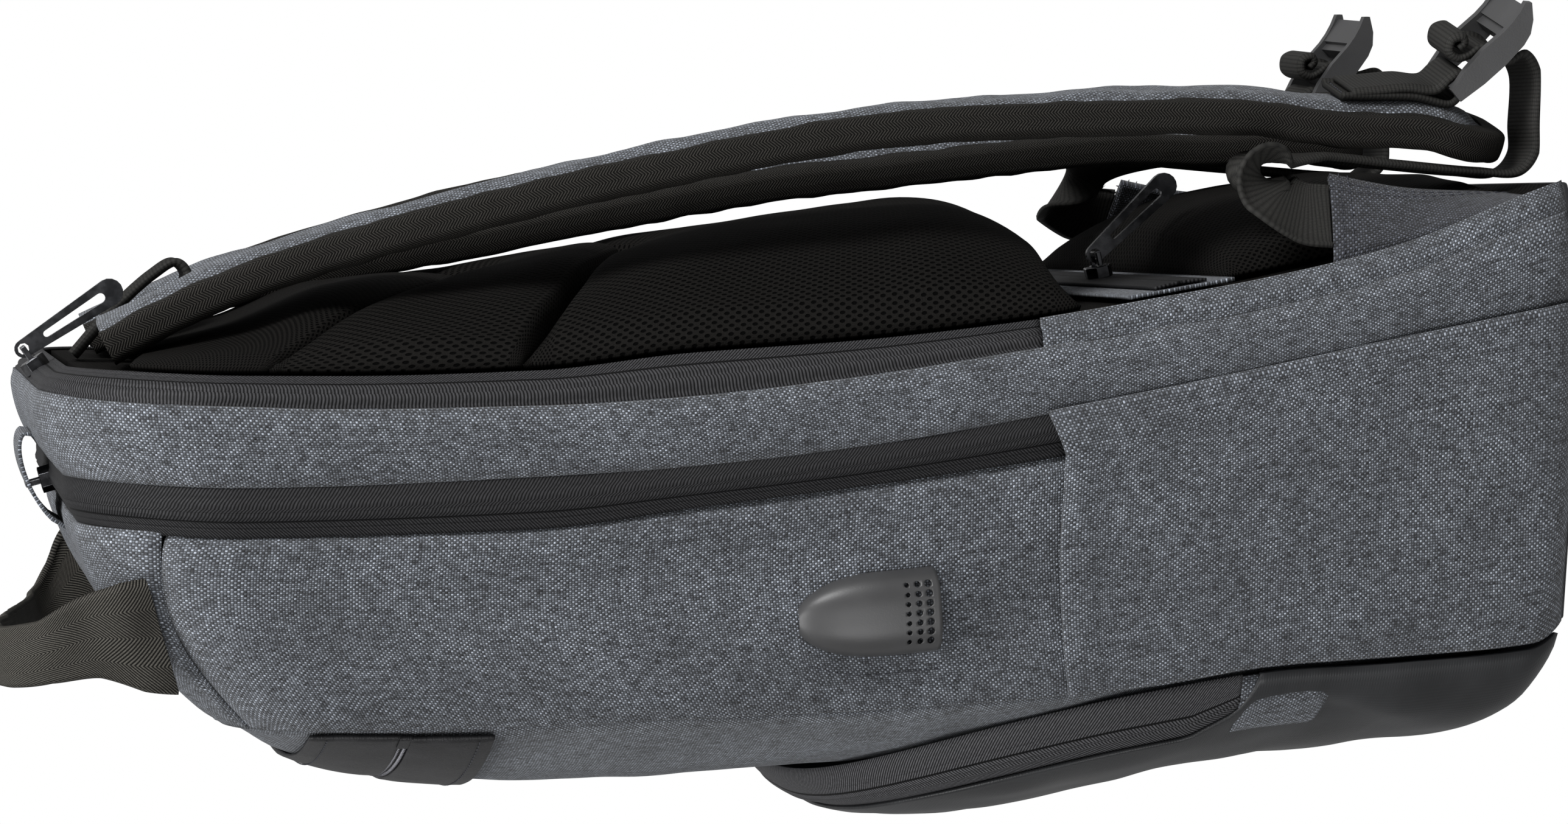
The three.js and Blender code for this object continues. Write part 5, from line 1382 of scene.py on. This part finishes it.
# Stops of the webbing in the lock, along it and outward in millimetres: round its first bar, and from the
# rolled tail over the other bars.
BAR_STOPS = [(-3, -4), (2, -4), (6.3, -3), (7.2, 0), (6, 3.2), (2, 4), (-3, 4.2)]
TAIL_STOPS = [(11, 8.4), (14, 8.6), (15, 11.5), (11, 13.6), (7.4, 10.6), (8.2, 6.4), (12, 4.4), (16.5, 3.6),
              (19.2, 0), (20.2, -6)]
WING = {"low": 16 * MM, "high": 80 * MM, "rise": 28 * MM, "lean": 20 * MM, "thick": 3 * MM, "inset": 5 * MM}
across_bag = np.array([1.0, 0.0, 0.0])
up_bag = np.array([0.0, 0.0, 1.0])


def wing_root(z):
    """A wing's sewn edge on the back seam, by height."""
    return np.array([SEAM_WIDTHS[BACK] - WING["inset"], float(back_seam_y(np.array(z))) + 0.4 * MM, z])


def wing_edge(z):
    """A wing's free edge, by height."""
    share = (z - WING["low"]) / (WING["high"] - WING["low"])
    return wing_root(z) + np.array([-WING["lean"], 1 * MM + WING["rise"] * share, -5 * MM * share])


def charcoal_plastic(name):
    plastic = Finish(name, Roughness=0.42)
    plastic.feed("Specular IOR Level", 0.4)
    place = plastic.in_piece()
    grain = plastic.noise(place, 1800.0, 2.0)
    cloud = plastic.noise(place, 60.0, 3.0)
    plastic.shades(cloud, (0.030, 0.030, 0.031), (0.052, 0.052, 0.053))
    plastic.feed("Roughness", 0.36 + cloud * 0.14)
    plastic.bump(grain, 0.06 * MM, 0.5)
    return plastic.material


plastic = charcoal_plastic("charcoal plastic")
# The wings' cloth is the heathered cloth made darker: painted shade for the bag's shade on the wings.
painted_shade_wing_cloth = heathered_cloth("wing cloth painted shade", (0.19, 0.205, 0.25), (0.003, 0.003, 0.004))
web_stitches = []
for name, strap in STRAPS.items():
    side = strap["side"]
    middle, along, outward = (v[0] for v in strap_frame(strap, [LOCK_AT])[:3])
    down = along * math.cos(LOCK_TILT) + outward * math.sin(LOCK_TILT)
    out = outward * math.cos(LOCK_TILT) - along * math.sin(LOCK_TILT)
    level = np.cross(down, out)
    origin = middle + outward * LOCK_RISE

    def in_lock(length, rise):
        return origin + down * length * MM + out * rise * MM, level

    def on_strap(u, rise):
        frame_at = strap_frame(strap, [u])
        return frame_at[0][0] + frame_at[2][0] * rise * MM, level

    # The strap's edge and crown, a gap and half the webbing, in millimetres
    crown = 4.75 + 3.5 + 0.4 + 0.8
    sewn = [on_strap(0.872, crown), on_strap(0.9, crown), on_strap(0.925, crown)]
    sewn += [in_lock(*stop) for stop in BAR_STOPS]
    sewn += [on_strap(0.92, crown + 4), on_strap(0.9, crown + 3), on_strap(0.88, crown + 2.2)]
    fits(ribbon("sewn_webbing_" + name, sewn, WEB_WIDTH, WEB_THICK, 120, webbing_black),
         "strap_webbing_" + name)
    root, tip = wing_root(WING["high"]), wing_edge(WING["high"])
    mouth = (root + tip) / 2 * np.array([side, 1, 1])
    wing_across = unit(tip - root) * np.array([side, 1, 1])
    inward = -side * wing_across
    up_wing = unit(up_bag - wing_across * wing_across[2])
    landing = in_lock(22, -9)[0]
    lowest = 0.4 * MM + WEB_THICK
    back = wing_edge(WING["high"])[1]

    def to_wing(share, y, z):
        return np.array([landing[0] + (mouth[0] - landing[0]) * share, y, z])

    top = WING["high"]
    route = [in_lock(*stop) for stop in TAIL_STOPS]
    route += [(to_wing(*stop), across_bag) for stop in (
        (0, landing[1] + 1 * MM, lowest + 3.5 * MM), (0, landing[1] - 4 * MM, lowest),
        (0, middle[1], lowest), (0, back + 8 * MM, lowest), (0, back + 2 * MM, lowest + 5 * MM),
        (0.02, back + 2 * MM, top * 0.275), (0.1, back + 4 * MM, top * 0.625), (0.3, back + 6 * MM, top))]
    route += [(to_wing(0.62, back + 3 * MM, top + 19 * MM), across_bag * 0.65 + inward * 0.35),
              (to_wing(0.93, (mouth[1] + back) / 2, top + 17 * MM), inward),
              (mouth + up_wing * 10 * MM, inward), (mouth + up_wing * 0.4 * MM, inward)]
    fits(ribbon("adjuster_webbing_" + name, route, WEB_WIDTH, WEB_THICK, 320, webbing_black),
         "adjuster_" + name)
    fits(edged_copy("lock_" + name, "lock_moulded_" + name, plastic, 0.9 * MM), "lock_" + name)
    patch = [(on_strap(0.876 + 0.05 * f, crown + 0.9)[0] + level * a * MM) for f, a in
             [(k / 20, -10.5) for k in range(20, -1, -1)] + [(0.0, a) for a in range(-9, 10)]
             + [(k / 20, 10.5) for k in range(21)]]
    web_stitches.append(patch)

    # Wings: doubled fins of the heathered cloth, sewn into the back seam. Two rows of stitches run along the
    # edges. Their cloth is the sides' cloth with darker colours, as painted shade, because the wings lie in
    # the bag's shade.
    z = np.linspace(WING["low"], WING["high"], 40)
    roots = np.stack([wing_root(v) for v in z])
    edges = np.stack([wing_edge(v) for v in z])
    share = np.linspace(0, 1, 24)[None, :, None]
    fin = roots[:, None] + (edges - roots)[:, None] * share
    bow = np.sin(np.pi * share[..., 0])
    belly = lumps(fin, 22 * MM, 1.0 * MM, 71) * bow + 0.8 * MM * bow
    rim = rolled_edge(40, 24, 1.6 * MM, 1.3 * MM, 0.9 * MM, 2.2 * MM)
    fin[..., 0] += belly + rim + WING["thick"] / 2
    if side < 0:
        fin[..., 0] *= -1
        fin = fin[:, ::-1]
    fits(cloth_piece("painted_shade_wing_cloth_" + name, fin[:, ::-1], WING["thick"] - 0.6 * MM, painted_shade_wing_cloth),
         "wing_" + name)
    cells = fin if side > 0 else fin[:, ::-1]
    lift = np.array([side * 0.25 * MM, 0, 0])
    for k in (2, 4):
        stitch("wing_stitches_%s_%d" % (name, k), [cells[:, -1 - k] + lift, cells[-1 - k, :] + lift])
PATCH_STITCH = (1.7 * MM, 0.6 * MM, 0.5 * MM)
pieces_along("strap_patch_stitches", web_stitches, 2.2 * MM, PATCH_STITCH, thread)

# Handles: a small loop of webbing at the top of the back and a wide one over the chamfers, both sewn in
# the seams.
loop_top = SEAM_TOPS[BACK]
loop_base = float(back_seam_y(np.array(loop_top))) + WEB_THICK / 2
HANG_LOOP = [(0, -8), (14, -20), (27, -34), (31, -41), (27, -44), (14, -34), (0, -22)]
hang = [(np.array([0.0, loop_base + y * MM, loop_top + z * MM]), across_bag) for y, z in HANG_LOOP]
fits(ribbon("hang_loop_webbing", hang, WEB_WIDTH, WEB_THICK, 90, webbing_black), "hang_loop")
HANDLE_WIDTH = 38 * MM
HANDLE_THICK = 2.2 * MM
HANDLE_RISE = 49 * MM
HANDLE_ACROSS = [0, -0.006, 0.004, 0.014, 0.05, 0.14, 0.5, 0.85, 0.95, 0.985, 1.004, 1.0]
HANDLE_UP = [0.05, 0.24, 0.48, 0.76, 0.96, 1.0, 0.84, 0.62, 0.54, 0.42, 0.22, 0.05]
HANDLE_FORWARD = [0.02, 0.02, 0.02, 0.14, 0.2, 0.24, 0.36, 0.46, 0.42, 0.28, 0.04, 0.02]
HANDLE_WIDE = [1, 0.92, 0.68, 0.52, 0.5, 0.5, 0.5, 0.5, 0.54, 0.68, 0.94, 1]
rear_seam = skin(float(MAIN_FRONT), side_top(float(MAIN_FRONT)))
fore_seam = skin(float(FRONT), side_top(float(FRONT)))
seam_way = unit(fore_seam - rear_seam)
foot_s, foot_t = 3.5, side_top(3.5)
foot_along = unit(skin(foot_s, foot_t + 0.01) - skin(foot_s, foot_t - 0.01))
foot_across = unit(skin(foot_s + 0.01, foot_t) - skin(foot_s - 0.01, foot_t))
foot_out = unit(np.cross(foot_along, foot_across))
foot_out = foot_out * np.sign(foot_out @ (skin(foot_s, foot_t, 1 * MM) - skin(foot_s, foot_t)))
leg_foot = skin(foot_s, foot_t) + foot_out * (HANDLE_THICK / 2 + 0.7 * MM)
handle_stops = []
for across, up, forward in zip(HANDLE_ACROSS, HANDLE_UP, HANDLE_FORWARD):
    share = min(up * 1.1, 1.0)
    way = unit(seam_way * (1 - share) + np.array([0, -1, -0.12]) * share)
    from_foot = np.array([0, -forward * HANDLE_WIDTH, up * HANDLE_RISE])
    place = leg_foot * np.array([1 - 2 * across, 1, 1]) + from_foot
    handle_stops.append((place, way * np.array([1 if across < 0.5 else -1, 1, 1])))
handle_weave = woven_tape("haul webbing", (0.0015, 0.0015, 0.0015), (0.135, 0.128, 0.112), 1.15 * MM,
                          9.5 * MM)
haul = ribbon("haul_handle_webbing", handle_stops, HANDLE_WIDTH, HANDLE_THICK, 250, handle_weave, cols=23,
              wave=1.5 * MM, seed=83, wide=HANDLE_WIDE, square=0.3)
fits(haul, "haul_handle")

# USB outlet: a rounded plastic hood, open below and pierced near its mouth, with a plain port under it.
HOOD_LENGTH = 44 * MM
HOOD_WIDTH = 27 * MM
HOOD_RISE = 11 * MM
HOOD_TILT = math.radians(5)
HOOD_FOOT = (-0.3867 * DEPTH, 0.4385 * HEIGHT)


def hood_place(up, over, rise=0.0):
    """Points off the side by the place up and across the USB hood."""
    up, over, rise = np.broadcast_arrays(np.asarray(up, float), over, rise)
    y = HOOD_FOOT[0] - up * math.sin(HOOD_TILT) + over * math.cos(HOOD_TILT)
    z = HOOD_FOOT[1] + up * math.cos(HOOD_TILT) + over * math.sin(HOOD_TILT)
    rear = seam_y(np.full(z.shape, float(MAIN_FRONT)), z)
    fore = seam_y(np.full(z.shape, float(FRONT)), z)
    s = MAIN_FRONT + (rear - y) / (rear - fore)
    width = between_seams(SEAM_WIDTHS, s) + SIDE_SWELL * np.sin(np.pi * (s - MAIN_FRONT))
    return np.stack([width + 0.8 * MM + rise, y, z], -1)


def hood_half(v):
    """Half the hood's width, from its mouth at 0 to its rounded top at 1."""
    return HOOD_WIDTH / 2 * np.where(v < 0.4, 1, np.sqrt(np.maximum(1 - ((v - 0.4) / 0.61) ** 2, 0.0004)))


def hood_rise(v):
    """How far the hood stands out in its middle."""
    return HOOD_RISE * np.sqrt(np.maximum(1 - np.clip((v - 0.12) / 0.9, 0, 1) ** 2.4, 0.0004))


v = np.concatenate([np.linspace(0, 0.8, 34), 0.8 + 0.19 * np.sin(np.linspace(0, np.pi / 2, 22)[1:])])[:, None]
u = np.sin(np.linspace(-np.pi / 2, np.pi / 2, 61))[None]
rise = hood_rise(v) * np.sqrt(np.maximum(1 - np.abs(u) ** 3.4, 0))
shell = hood_place(v * HOOD_LENGTH, u * hood_half(v), rise)
hood = cloth_piece("usb_hood_moulded", shell, -1.5 * MM, plastic)
pins = bmesh.new()
for row, radius in enumerate((1.15, 0.95, 0.75)):
    for k in range(7):
        over = (k / 3 - 1) * (HOOD_WIDTH / 2 - 4.6 * MM)
        place = Vector(hood_place(np.array(3.6 * MM + row * 3.4 * MM), over, 8 * MM))
        turn = Matrix.Translation(place) @ Matrix.Rotation(math.pi / 2, 4, "Y")
        bmesh.ops.create_cone(pins, cap_ends=True, segments=20, radius1=radius * MM, radius2=radius * MM,
                              depth=14 * MM, matrix=turn)
pin_mesh = bpy.data.meshes.new("hole cutters")
pins.to_mesh(pin_mesh)
pins.free()
cutters = put("hole cutters", pin_mesh)
holes = hood.modifiers.new("holes", "BOOLEAN")
holes.operation = "DIFFERENCE"
holes.object = cutters
hood = plain_mesh("usb_hood_moulded", hood)
bpy.data.objects.remove(cutters)
fits(hood, "usb_hood")
fits(edged_copy("usb_port", "usb_port_moulded", plastic, 0.5 * MM), "usb_port")
RIM_GAP = 6 * MM
rim_v = np.concatenate([np.linspace(0, 0.99, 60), np.linspace(0.99, 0, 60)])
rim_side = np.concatenate([np.full(60, 1.0), np.full(60, -1.0)])
rim_above = RIM_GAP * np.clip((rim_v - 0.4) / 0.6, 0, 1) ** 2
rim_beside = RIM_GAP * np.sqrt(np.maximum(1 - np.clip((rim_v - 0.4) / 0.62, 0, 1) ** 4, 0))
outline = hood_place(rim_v * HOOD_LENGTH + rim_above, rim_side * (hood_half(rim_v) + rim_beside), 0.1 * MM)
stitch("hood_outline_stitches", [outline])
